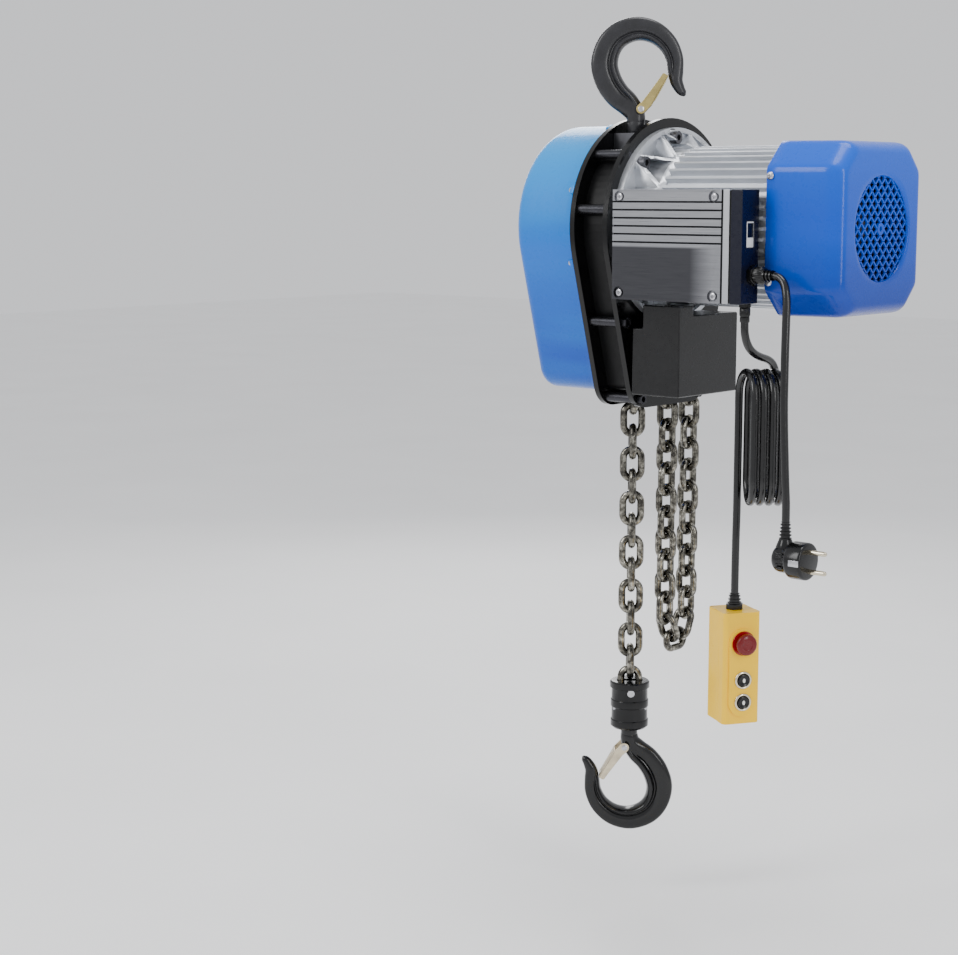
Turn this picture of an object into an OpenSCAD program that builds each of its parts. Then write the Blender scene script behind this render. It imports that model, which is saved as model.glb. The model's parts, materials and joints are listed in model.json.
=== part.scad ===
// Electric chain hoist: hook-suspended frame, gear train, motor, ring chain, hook block and pendant.
// Origin: the saddle of the top hook, on the load line. +X runs to the fan end of the motor,
// -Y is the control box side and +Z is up. Millimetres.

/* [Frame] */
// Radius of the round top of the side plates
plate_r = 112; // [108:1:118]
// Thickness of a side plate
plate_t = 6; // [5:1:7]
// Distance from the load line to the inner face of a side plate
gap_half = 18; // [17:1:19]
// Depth of the sheave axis under the hook saddle
axis_depth = 190; // [185:1:195]

/* [Chain] */
// Wire diameter of a chain link
wire_d = 7.7; // [7:0.1:7.8]
// Chain pitch, the inner length of a link
link_pitch = 24; // [24]
// Outer width of a chain link
link_w = 26.9; // [26.5:0.1:27.5]
// Pockets around the load sheave
pockets = 4; // [4]

/* [Gears] */
// Gear module
gear_m = 2; // [2]
// Teeth on each pinion
pinion_teeth = 12; // [12]
// Teeth on each wheel
wheel_teeth = 48; // [48]

/* [Motor] */
// Radius over the cooling fins
fin_r = 82; // [80:1:84]
// Number of cooling fins
fins = 48; // [36:2:60]
// Half the width of the fan cover
fan_half = 80; // [80:1:83]
// Half the height of the fan cover
fan_high = 85; // [84:1:87]
// Position of the end face of the fan cover
fan_end_x = 275; // [272:1:280]

/* [Control box] */
// Front face of the lid
lid_y = -80; // [-84:1:-78]
// Grooves across the lid
lid_grooves = 6; // [3:1:7]

/* [Hooks] */
// Diameter of a hook's shank
shank_d = 18; // [17:1:20]
// Angle of the hooks' plane from the motor axis
hook_az = 36.5; // [0:0.5:90]

/* [Pendant] */
// Width of the pendant case
pendant_w = 40; // [38:1:44]
// Depth of the pendant case
pendant_d = 43; // [40:1:46]
// Height of the pendant case
pendant_h = 115; // [112:1:120]

/* [Hidden] */
$fn = 48;
eps = 0.01;

// Sheave and chain. The load strand leaves the front of the sheave on the load line.
wire_r = wire_d / 2;
bar_mid = link_pitch / 2 + 4;
bend_r = link_w / 2 - wire_r;
sheave_r = 0.5 * sqrt(pow(link_pitch / sin(90 / pockets), 2) + pow(8 / cos(90 / pockets), 2));
flat_link_r = sheave_r - 4.35;
upright_link_r = sheave_r - 1.45;
axis_y = sheave_r;
axis_z = -axis_depth;
load_first_z = axis_z - link_pitch / 2;
block_link_z = load_first_z - 20 * link_pitch;
slack_y = axis_y + sheave_r;
anchor_y = 104;
slack_lift = 0.6;
slack_top_z = axis_z - 3 * link_pitch + slack_lift;
slack_links = 15;
loop_z = slack_top_z - slack_links * link_pitch;
anchor_pin_z = slack_top_z - 4;
twist_links = 8;
face_az = 41;

// Side plates: a large circle over two corner circles, joined by tangents.
corner_w = 41.65;
corner_h = 161;
corner_r = 28;
outer_x = gap_half + plate_t;
stay_tops = [[10, 104], [60, 104], [135, 104], [170, 104]];
stay_lows = [[-80.3, -97.8], [97.2, -47.5], [-52.2, -179.2], [52.2, -179.2]];

// Gear train: two idlers and the sheave stand on an equal-sided triangle.
centre_d = gear_m * (pinion_teeth + wheel_teeth) / 2;
idler_1_at = [-centre_d / 2, -centre_d * sin(60)];
idler_2_at = [centre_d / 2, -centre_d * sin(60)];
tooth_thinning = 0.16;
sheave_hub_r = 19.97;
shaft_seat_r = 8.47;
bearing_bore_r = 8.5;
bearing_r = 20;
load_gear_x = [-44, -32];
stage_2_x = [-56, -47];
stage_1_x = [-67, -59];
carrier_x = [-80, -72];
post_at = [[-60, 38], [60, 38], [0, -122]];
cover_x = -106;
cover_r = 105;
cover_w = 41;
cover_h = 148;
cover_corner_r = 26;
lug_angles = [35, 75, 112, 160, 200];
lug_screw_r = cover_r + 3.5;

// Motor stack along X.
flange_r = 102;
barrel_r = 80;
rim_r = 97;
fan_cut = 26;
fan_screw_z = [51, -51];
housing_x = [62, 190];
housing_bore_r = 68;
core_x = [82, 152];
shield_x = [190, 202];
shield_r = 77;
fan_x = 192;
flange_bolt_angles = [15, 57, 96, 135, 225, 270, 315];

// Control box along X.
box_x = [31, 171];
box_z = [-262, -152];
tray_y = lid_y + 5;
box_back_y = axis_y - fin_r;
cap_x = [173, 186];
gland_y = -62;
gland_z = -234;
drop_gland_x = 179.5;

// Hooks: stations along the forging, each [x, z, half width, half thickness].
hook_stations = [
    [0, 66, 7, 7], [0, 58, 9.4, 9.2], [2, 49.5, 10.4, 9.4], [9.5, 40, 12.4, 9.6],
    [20, 30.5, 13.4, 10], [29, 17, 14, 10.4], [33.6, 0, 14.2, 10.6], [29.5, -17.5, 13.8, 10.6],
    [18.5, -30, 13.2, 10.4], [1, -36, 12.4, 10.2], [-17, -32.5, 11.4, 9.8], [-31, -21.5, 10.2, 9],
    [-38.4, -7, 9.2, 8.2], [-40, 7, 8.2, 7.4], [-41, 17, 6.8, 6.4], [-44.6, 25, 5.4, 5.4],
    [-48, 29.5, 4, 4.2], [-49.4, 31.4, 2.2, 2.4]
];
hook_sides = 16;
saddle_z = -23.6;
hook_journal_r = 8;
upper_hook_z = saddle_z;
lower_hook_z = -798;
block_top_z = -679;
block_bottom_z = -731;
latch_pivot = [-5, 46];
latch_angle = 29.5;

// Pendant, hung on its cord.
pendant_x = 149;
pendant_y = -24;
pendant_top_z = -575;
pendant_az = 58;
split_y = -8;
e_stop_z = -606;
up_z = -644;
down_z = -667;

// Cords. The hank's turns lie side by side along its width and stand upright.
cord_d = 8;
cord_sides = 8;
hank_runs = 5;
hank_pitch = 9.2;
hank_fold_r = 24;
hank_top_z = -327;
hank_bottom_z = -465;
hank_front = [181, -60];
power_route = [
    [212, -62, -234], [219, -63, -236], [225, -65, -241], [229, -67.5, -249],
    [231, -69, -260], [231.5, -70, -280], [231.5, -70.5, -305], [231.5, -70.5, -330],
    [231.5, -70.5, -355], [232, -70, -380], [233, -69.5, -405], [234, -69, -430],
    [235, -68.3, -452], [235, -68, -474]
];
entry_route = [
    [179.5, -62, -280], [179.5, -61.6, -289], [179.5, -58.6, -298], [179.3, -52, -306],
    [179, -42, -312], [178.6, -30, -316], [178.2, -18, -319], [177.9, -8, -324],
    [177.5, -1.5, -333], [177.3, 0.4, -345], [177.3, 0.4, -358]
];
drop_route = [
    [149.5, -23.8, -436], [149.5, -23.8, -456], [149.5, -23.8, -476], [149.3, -24, -496],
    [149.1, -24, -516], [149, -24, -536], [149, -24, -559]
];

// ---------- shared helpers ----------

function arc(c, r, a0, a1, n) =
    [for (i = [0:n]) let (a = a0 + (a1 - a0) * i / n) c + r * [cos(a), sin(a)]];

// Outline of a large circle over two corner circles at [+-w, -h], with tangent sides.
function pear(r, w, h, cr, n = 24) =
    let (a = acos((r - cr) / norm([w, h])) - atan2(h, w))
    concat(
        arc([0, 0], r, a, 180 - a, 2 * n),
        arc([-w, -h], cr, 180 - a, 270, n / 3),
        arc([w, -h], cr, -90, a, n / 3)
    );

function inset_plate(d) = pear(plate_r - d, corner_w, corner_h, corner_r - d);
function inset_cover(d) = pear(cover_r - d, cover_w, cover_h, cover_corner_r - d);

module at_axis() {
    translate([0, axis_y, axis_z]) children();
}

// Draws a flat shape, given in Y and Z, from x0 to x1.
module along_x(x0, x1) {
    translate([x0, 0, 0]) rotate([90, 0, 90]) linear_extrude(x1 - x0) children();
}

module rod_x(x0, x1, r) {
    translate([x0, 0, 0]) rotate([0, 90, 0]) cylinder(h = x1 - x0, r = r);
}

// A ring turned from a profile of [radius, x] points, about the X axis.
module turned_x(profile) {
    rotate([0, 90, 0]) rotate_extrude($fn = 96) polygon(profile);
}

module box_between(a, b) {
    translate(a) cube(b - a);
}

module hex_x(x0, x1, flats) {
    translate([x0, 0, 0]) rotate([0, 90, 0]) cylinder(h = x1 - x0, r = flats / 2 / cos(30), $fn = 6);
}

// ---------- chain links ----------

// One link, upright in the XZ plane.
module chain_link() {
    straight = bar_mid - bend_r;
    for (end = [0, 1]) mirror([0, 0, end]) translate([0, 0, straight]) rotate([90, 0, 0])
        rotate_extrude(angle = 180, $fn = 24) translate([bend_r, 0]) circle(r = wire_r, $fn = 16);
    for (side = [-1, 1]) translate([side * bend_r, 0, -straight])
        cylinder(h = 2 * straight, r = wire_r, $fn = 16);
}

// A link at a place, turned about Z to an azimuth; even links stand in the sheave's groove.
module upright_link(y, z, az) {
    translate([0, y, z]) rotate([0, 0, az]) chain_link();
}

// A link whose length lies at an angle in the YZ plane, flat or on edge to that plane.
module leaning_link(y, z, lean, on_edge) {
    translate([0, y, z]) rotate([lean, 0, 0]) rotate([0, 0, on_edge ? 90 : 0]) chain_link();
}

// Azimuth of load link k below the sheave: it turns evenly to the hanging azimuth.
function load_az(k) = (k % 2 == 0 ? 90 : 0) - (90 - face_az) * min(k, twist_links) / twist_links;

module sheave_chain() {
    color("dimgray") {
        for (k = [0:5]) upright_link(0, load_first_z - k * link_pitch, load_az(k));
        for (k = [0:3]) at_axis() rotate([90 / pockets * (2 * k + 1), 0, 0])
            translate([0, k % 2 == 0 ? upright_link_r : flat_link_r, 0])
            rotate([0, 0, k % 2 == 0 ? 90 : 0]) chain_link();
        for (k = [0:2])
            upright_link(slack_y, load_first_z + slack_lift - k * link_pitch, k % 2 == 0 ? 0 : 90);
    }
}

module load_chain() {
    color("dimgray") for (k = [6:20]) upright_link(0, load_first_z - k * link_pitch, load_az(k));
}

module slack_chain() {
    color("dimgray") {
        for (k = [0:slack_links - 1]) let (z = slack_top_z - (k + 0.5) * link_pitch) {
            upright_link(slack_y, z, k % 2 == 0 ? 90 : 0);
            upright_link(anchor_y, z, k % 2 == 0 ? 90 : 0);
        }
        loop_links();
    }
}

// The three links at the bottom of the slack loop, the middle one level.
module loop_links() {
    half = (anchor_y - slack_y) / 2;
    mid_y = slack_y + half;
    crown = bar_mid - bend_r;
    top_y = half - 0.4;
    bottom_y = crown + 1.2;
    lean = asin((top_y - bottom_y) / (2 * bar_mid));
    top_z = loop_z + link_pitch / 2 - crown - 1.6;
    for (side = [-1, 1]) leaning_link(
        mid_y + side * (top_y + bottom_y) / 2, top_z - bar_mid * cos(lean), -side * lean, false
    );
    leaning_link(mid_y, top_z - 2 * bar_mid * cos(lean) - 1.2, 90, true);
}

// ---------- frame ----------

module side_plate(left) {
    x0 = left ? -outer_x : gap_half;
    difference() {
        at_axis() along_x(x0, x0 + plate_t) polygon(inset_plate(0));
        at_axis() rod_x(x0 - 1, x0 + plate_t + 1, 30);
        at_axis() stay_places() rod_x(x0 - 1, x0 + plate_t + 1, 3);
        translate([0, 0, -105]) rod_x(x0 - 1, x0 + plate_t + 1, hook_journal_r);
        translate([0, anchor_y, anchor_pin_z]) rod_x(x0 - 1, x0 + plate_t + 1, wire_r);
        if (left) at_axis() for (p = [idler_1_at, idler_2_at])
            translate([0, p[0], p[1]]) rod_x(x0 - 1, x0 + plate_t + 1, 8.05);
        if (!left) at_axis() flange_bolt_places() rod_x(x0 - 1, x0 + plate_t + 1, 4);
    }
}

module stay_places() {
    for (p = stay_tops) rotate([p[0], 0, 0]) translate([0, p[1], 0]) children();
    for (p = stay_lows) translate([0, p[0], p[1]]) children();
}

module left_side_plate() {
    color([0.05, 0.05, 0.06]) side_plate(true);
}

module right_side_plate() {
    color([0.05, 0.05, 0.06]) side_plate(false);
}

// Bent strip between the plates: open at the top for the hook and at the bottom for the chain.
module chain_guard() {
    color([0.1, 0.1, 0.11]) difference() {
        at_axis() along_x(-gap_half, gap_half) difference() {
            polygon(inset_plate(16));
            polygon(inset_plate(18.5));
        }
        box_between([-25, -24, -150], [25, 24, -60]);
        box_between([-25, 60, -400], [25, 160, -235]);
        box_between([-25, -16, -400], [25, 70, -340]);
    }
}

module stay_bolts() {
    color([0.55, 0.55, 0.57]) at_axis() {
        stay_places() rod_x(-outer_x, outer_x, 3);
        stay_places() difference() {
            rod_x(-gap_half, gap_half, 5);
            rod_x(-gap_half - 1, gap_half + 1, 3);
        }
        for (p = stay_lows) translate([0, p[0], p[1]]) difference() {
            hex_x(outer_x, outer_x + 5, 10);
            rod_x(outer_x - 1, outer_x + 6, 3);
        }
    }
}

module hook_yoke() {
    color([0.25, 0.25, 0.27]) difference() {
        union() {
            box_between([-gap_half + 0.4, -15, -116], [gap_half - 0.4, 15, -94]);
            translate([0, 0, -105]) rod_x(-outer_x, outer_x, hook_journal_r);
        }
        translate([0, 0, -130]) cylinder(h = 50, r = hook_journal_r + 0.06);
    }
}

module chain_anchor_pin() {
    color([0.6, 0.6, 0.62]) translate([0, anchor_y, anchor_pin_z]) rod_x(-outer_x, outer_x, wire_r);
}

// ---------- bearings ----------

module bearing(x0, w, inner, outer) {
    turned_x([
        [inner, x0], [inner + 3, x0], [inner + 3.6, x0 + 1], [outer - 3.6, x0 + 1],
        [outer - 3, x0], [outer, x0], [outer, x0 + w], [outer - 3, x0 + w],
        [outer - 3.6, x0 + w - 1], [inner + 3.6, x0 + w - 1], [inner + 3, x0 + w], [inner, x0 + w]
    ]);
}

module sheave_bearings() {
    color([0.7, 0.7, 0.72]) at_axis() {
        bearing(gap_half, 12, 20, 30);
        bearing(-gap_half - 12, 12, 20, 30);
    }
}

module shaft_bearings() {
    color([0.7, 0.7, 0.72]) at_axis() for (x0 = [-84, 36, 188])
        bearing(x0, 12, bearing_bore_r, bearing_r);
}

// ---------- gear case ----------

// Half angle of a tooth at radius p, for z teeth: an involute of 20 degrees, thinned for backlash.
function involute(a) = tan(a) * 180 / PI - a;
function half_angle(z, p) =
    let (r = gear_m * z / 2, base = r * cos(20), a = acos(min(1, base / p)))
    90 / z - tooth_thinning / r * 180 / PI + involute(20) - involute(a);

function gear_outline(z, phase) =
    let (
        r = gear_m * z / 2,
        base = r * cos(20),
        root = r - 1.25 * gear_m,
        radii = [max(root, base) + 0.05, r, r + 0.85 * gear_m]
    )
    [for (i = [0:z - 1]) let (a = phase + 360 * i / z) each concat(
        [root * [cos(a - half_angle(z, radii[0])), sin(a - half_angle(z, radii[0]))]],
        [for (p = radii) p * [cos(a - half_angle(z, p)), sin(a - half_angle(z, p))]],
        [for (k = [2, 1, 0]) let (p = radii[k], b = a + half_angle(z, p)) p * [cos(b), sin(b)]],
        [root * [cos(a + half_angle(z, radii[0])), sin(a + half_angle(z, radii[0]))]]
    )];

// Phase of a wheel so that a gap faces a pinion tooth that points at it from direction a.
function mesh_phase(z, a) = a + 180 + 180 / z;

module gear(x, z, phase) {
    along_x(x[0], x[1]) polygon(gear_outline(z, phase));
}

module idler_shaft() {
    rod_x(carrier_x[0] + 1, -gap_half - 0.5, 8);
}

module idler_1() {
    color([0.62, 0.6, 0.56]) at_axis() translate([0, idler_1_at[0], idler_1_at[1]]) {
        idler_shaft();
        gear(stage_1_x, wheel_teeth, mesh_phase(wheel_teeth, -120));
        gear([stage_2_x[0] - 1, stage_2_x[1] + 1], pinion_teeth, 0);
    }
}

module idler_2() {
    color([0.62, 0.6, 0.56]) at_axis() translate([0, idler_2_at[0], idler_2_at[1]]) {
        idler_shaft();
        gear(stage_2_x, wheel_teeth, mesh_phase(wheel_teeth, 0));
        gear([load_gear_x[0] - 1, load_gear_x[1] + 1], pinion_teeth, 120);
    }
}

module load_gear() {
    color([0.62, 0.6, 0.56]) at_axis() difference() {
        gear(load_gear_x, wheel_teeth, mesh_phase(wheel_teeth, 120));
        rod_x(load_gear_x[0] - 1, load_gear_x[1] + 1, sheave_hub_r);
    }
}

// Pocket wheel on a hollow hub: a deep groove for the upright links, pockets for the flat ones.
module load_sheave() {
    pocket_floor = flat_link_r - wire_r - 0.25;
    groove_r = upright_link_r - link_w / 2 - 0.4;
    tooth_r = flat_link_r + wire_r + 2;
    color([0.35, 0.35, 0.37]) at_axis() difference() {
        union() {
            rod_x(-gap_half + 1, gap_half - 1, tooth_r);
            rod_x(load_gear_x[0], 30.5, sheave_hub_r);
        }
        rod_x(-60, 60, 9.5);
        turned_x([[groove_r, -4.8], [40, -4.8], [40, 4.8], [groove_r, 4.8]]);
        for (k = [0:pockets - 1]) rotate([67.5 + 90 * k, 0, 0])
            box_between([-14, pocket_floor, -20.4], [14, 45, 20.4]);
    }
}

module gear_carrier() {
    color([0.45, 0.45, 0.47]) at_axis() {
        difference() {
            along_x(carrier_x[0], carrier_x[1]) polygon(pear(84, 20, 118, 22));
            rod_x(carrier_x[0] - 1, carrier_x[1] + 1, bearing_r);
            for (p = [idler_1_at, idler_2_at])
                translate([0, p[0], p[1]]) rod_x(carrier_x[0] - 1, carrier_x[1] + 1, 8.05);
        }
        for (p = post_at) translate([0, p[0], p[1]]) rod_x(carrier_x[1] - eps, -outer_x, 7);
    }
}

module gear_cover() {
    color([0.1, 0.6, 0.9]) at_axis() {
        difference() {
            hull() {
                along_x(cover_x + 12, -outer_x) polygon(inset_cover(0));
                along_x(cover_x + 4, cover_x + 12) polygon(inset_cover(3));
                along_x(cover_x, cover_x + 4) polygon(inset_cover(9));
            }
            along_x(cover_x + 12, -outer_x + 1) polygon(inset_cover(2.5));
            along_x(cover_x + 3, cover_x + 13) polygon(inset_cover(11));
        }
        for (a = lug_angles) rotate([a, 0, 0]) difference() {
            box_between([-outer_x - 5, cover_r - 2, -4.5], [-outer_x, lug_screw_r + 3.5, 4.5]);
            translate([0, lug_screw_r, 0]) rod_x(-outer_x - 6, -outer_x + 1, 2);
        }
    }
}

// Pan-head screw with its head standing on x = 0.
module pan_screw(length, head_r) {
    rod_x(-length, 0, 2);
    rod_x(0, 2.6, head_r);
}

module fan_screw_places() {
    for (side = [0, 1], z = fan_screw_z)
        at_axis() mirror([0, side, 0]) translate([197, -fan_half, z]) rotate([0, 0, -90]) children();
}

module lid_screw_places() {
    for (x = [box_x[0] + 8, box_x[0] + 122], z = [box_z[0] + 7, box_z[1] - 7])
        translate([x, lid_y + 2.6, z]) rotate([0, 0, -90]) children();
}

module casing_screws() {
    color([0.8, 0.8, 0.82]) {
        for (a = lug_angles) at_axis() rotate([a, 0, 0])
            translate([-outer_x - 5, lug_screw_r, 0]) rotate([0, 180, 0]) pan_screw(5, 3.2);
        fan_screw_places() pan_screw(8, 4);
        lid_screw_places() pan_screw(7, 4);
    }
}

// ---------- motor ----------

module flange_bolt_places() {
    for (a = flange_bolt_angles) rotate([a, 0, 0]) translate([0, 92, 0]) children();
}

// Outline of a straight wall of thickness t from radius r0 at angle a0 to radius r1 at angle a1.
function wall_outline(r0, a0, r1, a1, t) =
    let (p = r0 * [cos(a0), sin(a0)], q = r1 * [cos(a1), sin(a1)], d = (q - p) / norm(q - p))
    let (n = [-d[1], d[0]] * t / 2)
    [p - n, q - n, q + n, p + n];

// Zigzag walls between the barrel and the rim, sloping down to the rim.
module flange_ribs() {
    rib_turn = 15;
    intersection() {
        turned_x([
            [barrel_r - 2, 27.5], [rim_r + 0.5, 27.5], [rim_r + 0.5, 31], [barrel_r, 56], [barrel_r - 2, 56]
        ]);
        for (a = [0:2 * rib_turn:345], side = [-1, 1])
            along_x(27.5, 56) polygon(wall_outline(barrel_r - 2, a, flange_r, a + side * rib_turn, 3));
    }
}

// Cast flange: raised rim, bolt bosses, ribbed barrel, bearing seat and a spigot for the finned housing.
module motor_flange() {
    color([0.82, 0.83, 0.85]) at_axis() difference() {
        union() {
            turned_x([
                [bearing_r, 48], [24, 52], [60, 56], [60, 62], [housing_bore_r + 8, 62], [barrel_r, 56],
                [barrel_r, 28], [rim_r, 28], [rim_r, 31], [flange_r, 31], [flange_r, outer_x],
                [34, outer_x], [34, 33], [bearing_r, 33]
            ]);
            flange_ribs();
            flange_bolt_places() rod_x(27, 31, 9.5);
        }
        rod_x(outer_x - 1, 30, 30);
        rod_x(30, 36, 24);
        rod_x(36 - eps, 60, bearing_r);
        flange_bolt_places() rod_x(outer_x - 1, 60, 4);
        flange_bolt_places() rod_x(31, 60, 7);
    }
}

module flange_bolts() {
    color([0.2, 0.2, 0.22]) at_axis() flange_bolt_places() difference() {
        union() {
            rod_x(gap_half, 31, 4);
            rod_x(31, 39, 6.5);
        }
        hex_x(35, 40, 6);
    }
}

// Outline of the finned housing: straight-sided fins between round roots.
function fin_outline() = [for (i = [0:fins - 1], c = [[-1.6, 75], [-1.0, fin_r], [1.0, fin_r], [1.6, 75]])
    c[1] * [cos(360 * i / fins + c[0]), sin(360 * i / fins + c[0])]];

module motor_housing() {
    color([0.85, 0.86, 0.88]) at_axis() difference() {
        along_x(housing_x[0], housing_x[1]) polygon(fin_outline());
        rod_x(housing_x[0] - 1, housing_x[1] + 1, housing_bore_r);
    }
}

// Holes of the fan cover's screws, through the cover and into the ears of the end shield.
module fan_screw_holes() {
    for (side = [0, 1], z = fan_screw_z) mirror([0, side, 0]) translate([197, -fan_half, z])
        rotate([0, 0, -90]) rod_x(-12, 10, 2);
}

module rear_end_shield() {
    color([0.8, 0.81, 0.83]) at_axis() difference() {
        union() {
            turned_x([
                [10, 186], [14, 184], [24, 184], [30, 188], [60, 188], [60, 184],
                [housing_bore_r, 184], [housing_bore_r, shield_x[0]], [shield_r, shield_x[0]],
                [shield_r, shield_x[1]], [10, shield_x[1]]
            ]);
            for (side = [0, 1], z = fan_screw_z) mirror([0, side, 0])
                box_between([192.5, -fan_half + 3, z - 5], [shield_x[1], -50, z + 5]);
        }
        rod_x(188, 200, bearing_r);
        fan_screw_holes();
    }
}

module stator_core() {
    color([0.3, 0.3, 0.32]) at_axis() turned_x([
        [42, core_x[0]], [housing_bore_r, core_x[0]], [housing_bore_r, core_x[1]], [42, core_x[1]]
    ]);
}

module stator_windings() {
    color([0.72, 0.4, 0.2]) at_axis() {
        turned_x([[44, 66], [50, 64], [57, 64], [61, 68], [61, core_x[0]], [44, core_x[0]]]);
        turned_x([[44, core_x[1]], [61, core_x[1]], [61, 166], [57, 170], [50, 170], [44, 168]]);
    }
}

module brake_coil() {
    color([0.25, 0.25, 0.27]) at_axis()
        turned_x([[14, shield_x[1]], [55, shield_x[1]], [55, 218], [14, 218]]);
}

module brake_armature() {
    color([0.55, 0.55, 0.57]) at_axis() turned_x([[13, 219], [50, 219], [50, 223], [13, 223]]);
}

module brake_disc() {
    color([0.3, 0.26, 0.22]) at_axis()
        turned_x([[7.5, 223.3], [48, 223.3], [48, 227.5], [16, 227.5], [16, 230], [7.5, 230]]);
}

module motor_shaft() {
    color([0.7, 0.7, 0.72]) at_axis() {
        rod_x(-84, -70, shaft_seat_r);
        gear([stage_1_x[0] - 1, stage_1_x[1] + 1], pinion_teeth, -120);
        rod_x(-70, 36, 8);
        rod_x(36, 50, shaft_seat_r);
        rod_x(50, 183, 12);
        rod_x(182, 200, shaft_seat_r);
        rod_x(200, 253, 7.5);
    }
}

module rotor_core() {
    color([0.5, 0.5, 0.53]) at_axis()
        turned_x([[12, core_x[0]], [41.5, core_x[0]], [41.5, core_x[1]], [12, core_x[1]]]);
}

module cooling_fan() {
    color([0.15, 0.15, 0.17]) at_axis() difference() {
        union() {
            rod_x(234, 252, 14);
            rod_x(234, 237, 60);
            for (a = [0:45:315]) rotate([a, 0, 0])
                box_between([237 - eps, 13, -1.2], [251, 62, 1.2]);
        }
        rod_x(230, 260, 7.5);
    }
}

// Outline of the fan cover, smaller by d all round, with its corners cut.
function fan_outline(d) =
    let (w = fan_half - d, h = fan_high - d, c = fan_cut)
    [[w, c - h], [w, h - c], [w - c, h], [c - w, h], [-w, h - c], [-w, c - h], [c - w, -h], [w - c, -h]];

module fan_cover() {
    color([0.08, 0.46, 0.86]) at_axis() difference() {
        hull() {
            along_x(fan_x, fan_end_x - 14) polygon(fan_outline(0));
            along_x(fan_end_x - 15, fan_end_x - 5) polygon(fan_outline(4));
            along_x(fan_end_x - 5, fan_end_x) polygon(fan_outline(13));
        }
        along_x(fan_x - 1, fan_end_x - 15) polygon(fan_outline(2.5));
        along_x(fan_x - 1, fan_end_x - 3) polygon(fan_outline(16));
        for (i = [-5:5], j = [-5:5]) if (norm([i, j]) < 5.4 && norm([i, j]) > 0.5)
            rotate([45, 0, 0]) box_between(
                [fan_end_x - 8, 8.6 * i - 3.1, 8.6 * j - 3.1], [fan_end_x + 1, 8.6 * i + 3.1, 8.6 * j + 3.1]
            );
        fan_screw_holes();
    }
}

// ---------- control box ----------

module control_box() {
    color([0.62, 0.63, 0.65]) difference() {
        union() {
            box_between([box_x[0], tray_y, box_z[0]], [68, -66, box_z[1]]);
            box_between([66, tray_y, box_z[0]], [box_x[1], box_back_y, box_z[1]]);
            box_between([164, lid_y, box_z[0]], [box_x[1], tray_y + 1, box_z[1]]);
        }
        box_between([box_x[0] + 3, tray_y - 1, box_z[0] + 3], [69, -68, box_z[1] - 3]);
        box_between([68.9, tray_y - 1, box_z[0] + 3], [162, box_back_y - 3, box_z[1] - 3]);
        lid_screw_places() rod_x(-7, 1, 2);
    }
}

// Ribbed aluminium lid: level grooves over its upper part and a notch at each screw.
module control_box_lid() {
    color([0.55, 0.56, 0.58]) difference() {
        box_between([box_x[0], lid_y, box_z[0]], [162, lid_y + 4, box_z[1]]);
        for (k = [0:lid_grooves - 1]) box_between(
            [box_x[0] - 1, lid_y - 1, box_z[1] - 13 - 8 * k], [163, lid_y + 1.6, box_z[1] - 11.2 - 8 * k]
        );
        lid_screw_places() rod_x(0, 5, 6);
        lid_screw_places() rod_x(-8, 1, 2);
    }
}

module control_box_gaskets() {
    color([0.05, 0.05, 0.05]) {
        difference() {
            box_between([box_x[0], lid_y + 4, box_z[0]], [162, tray_y, box_z[1]]);
            box_between([box_x[0] + 3, lid_y + 3, box_z[0] + 3], [159, tray_y + 1, box_z[1] - 3]);
            lid_screw_places() rod_x(-8, 1, 2);
        }
        box_between([162, lid_y + 1, box_z[0]], [164, tray_y, box_z[1]]);
        box_between([box_x[1], lid_y + 1, box_z[0] + 1], [cap_x[0], box_back_y - 1, box_z[1] - 1]);
    }
}

module control_box_end_cap() {
    color([0.1, 0.12, 0.2]) difference() {
        box_between([cap_x[0], lid_y, box_z[0]], [cap_x[1], box_back_y, box_z[1]]);
        translate([0, gland_y, gland_z]) rod_x(cap_x[1] - 4, cap_x[1] + 1, 6);
        translate([drop_gland_x, gland_y, box_z[0] - 1]) cylinder(h = 5, r = 4.5);
        box_between([cap_x[1] - 1.5, lid_y + 9, -208], [cap_x[1] + 1, lid_y + 22, -182]);
    }
}

module contactor() {
    color([0.3, 0.3, 0.3]) {
        box_between([76, tray_y + 2, -205], [112, box_back_y - 3, -165]);
        box_between([80, tray_y - 1, -197], [108, tray_y + 2, -173]);
    }
}

module transformer() {
    color([0.5, 0.35, 0.2]) {
        box_between([122, tray_y + 1, -222], [156, box_back_y - 3, -182]);
        box_between([116, tray_y + 4, -214], [122, box_back_y - 5, -190]);
    }
}

// Black box under the motor, spaced off the right side plate on two pads.
module lower_box() {
    color([0.12, 0.12, 0.12]) difference() {
        union() {
            box_between([31, -45, -362], [90, 61, -293]);
            box_between([44, -45, -300], [90, 61, -279]);
            box_between([44, -45, -300], [90, -20, -269]);
            for (y = [-34, 34]) box_between([outer_x, y, -352], [32, y + 20, -300]);
        }
        box_between([34, -42, -359], [87, 58, -296]);
        box_between([47, -42, -297], [87, 58, -282]);
    }
}

module capacitor() {
    color([0.85, 0.85, 0.82]) translate([60.5, -36, -325]) rotate([-90, 0, 0]) cylinder(h = 88, r = 21);
}

// A gland along +Z: threaded foot, hexagon, dome nut; cord_r is its bore.
module gland(foot, length) {
    difference() {
        union() {
            translate([0, 0, -foot]) cylinder(h = foot + eps, r = 4.5);
            cylinder(h = 4, r = 6.4, $fn = 6);
            translate([0, 0, 4 - eps]) cylinder(h = length - 4, r = 5.4);
        }
        translate([0, 0, -foot - 1]) cylinder(h = length + foot + 2, r = cord_d / 2);
    }
}

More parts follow.
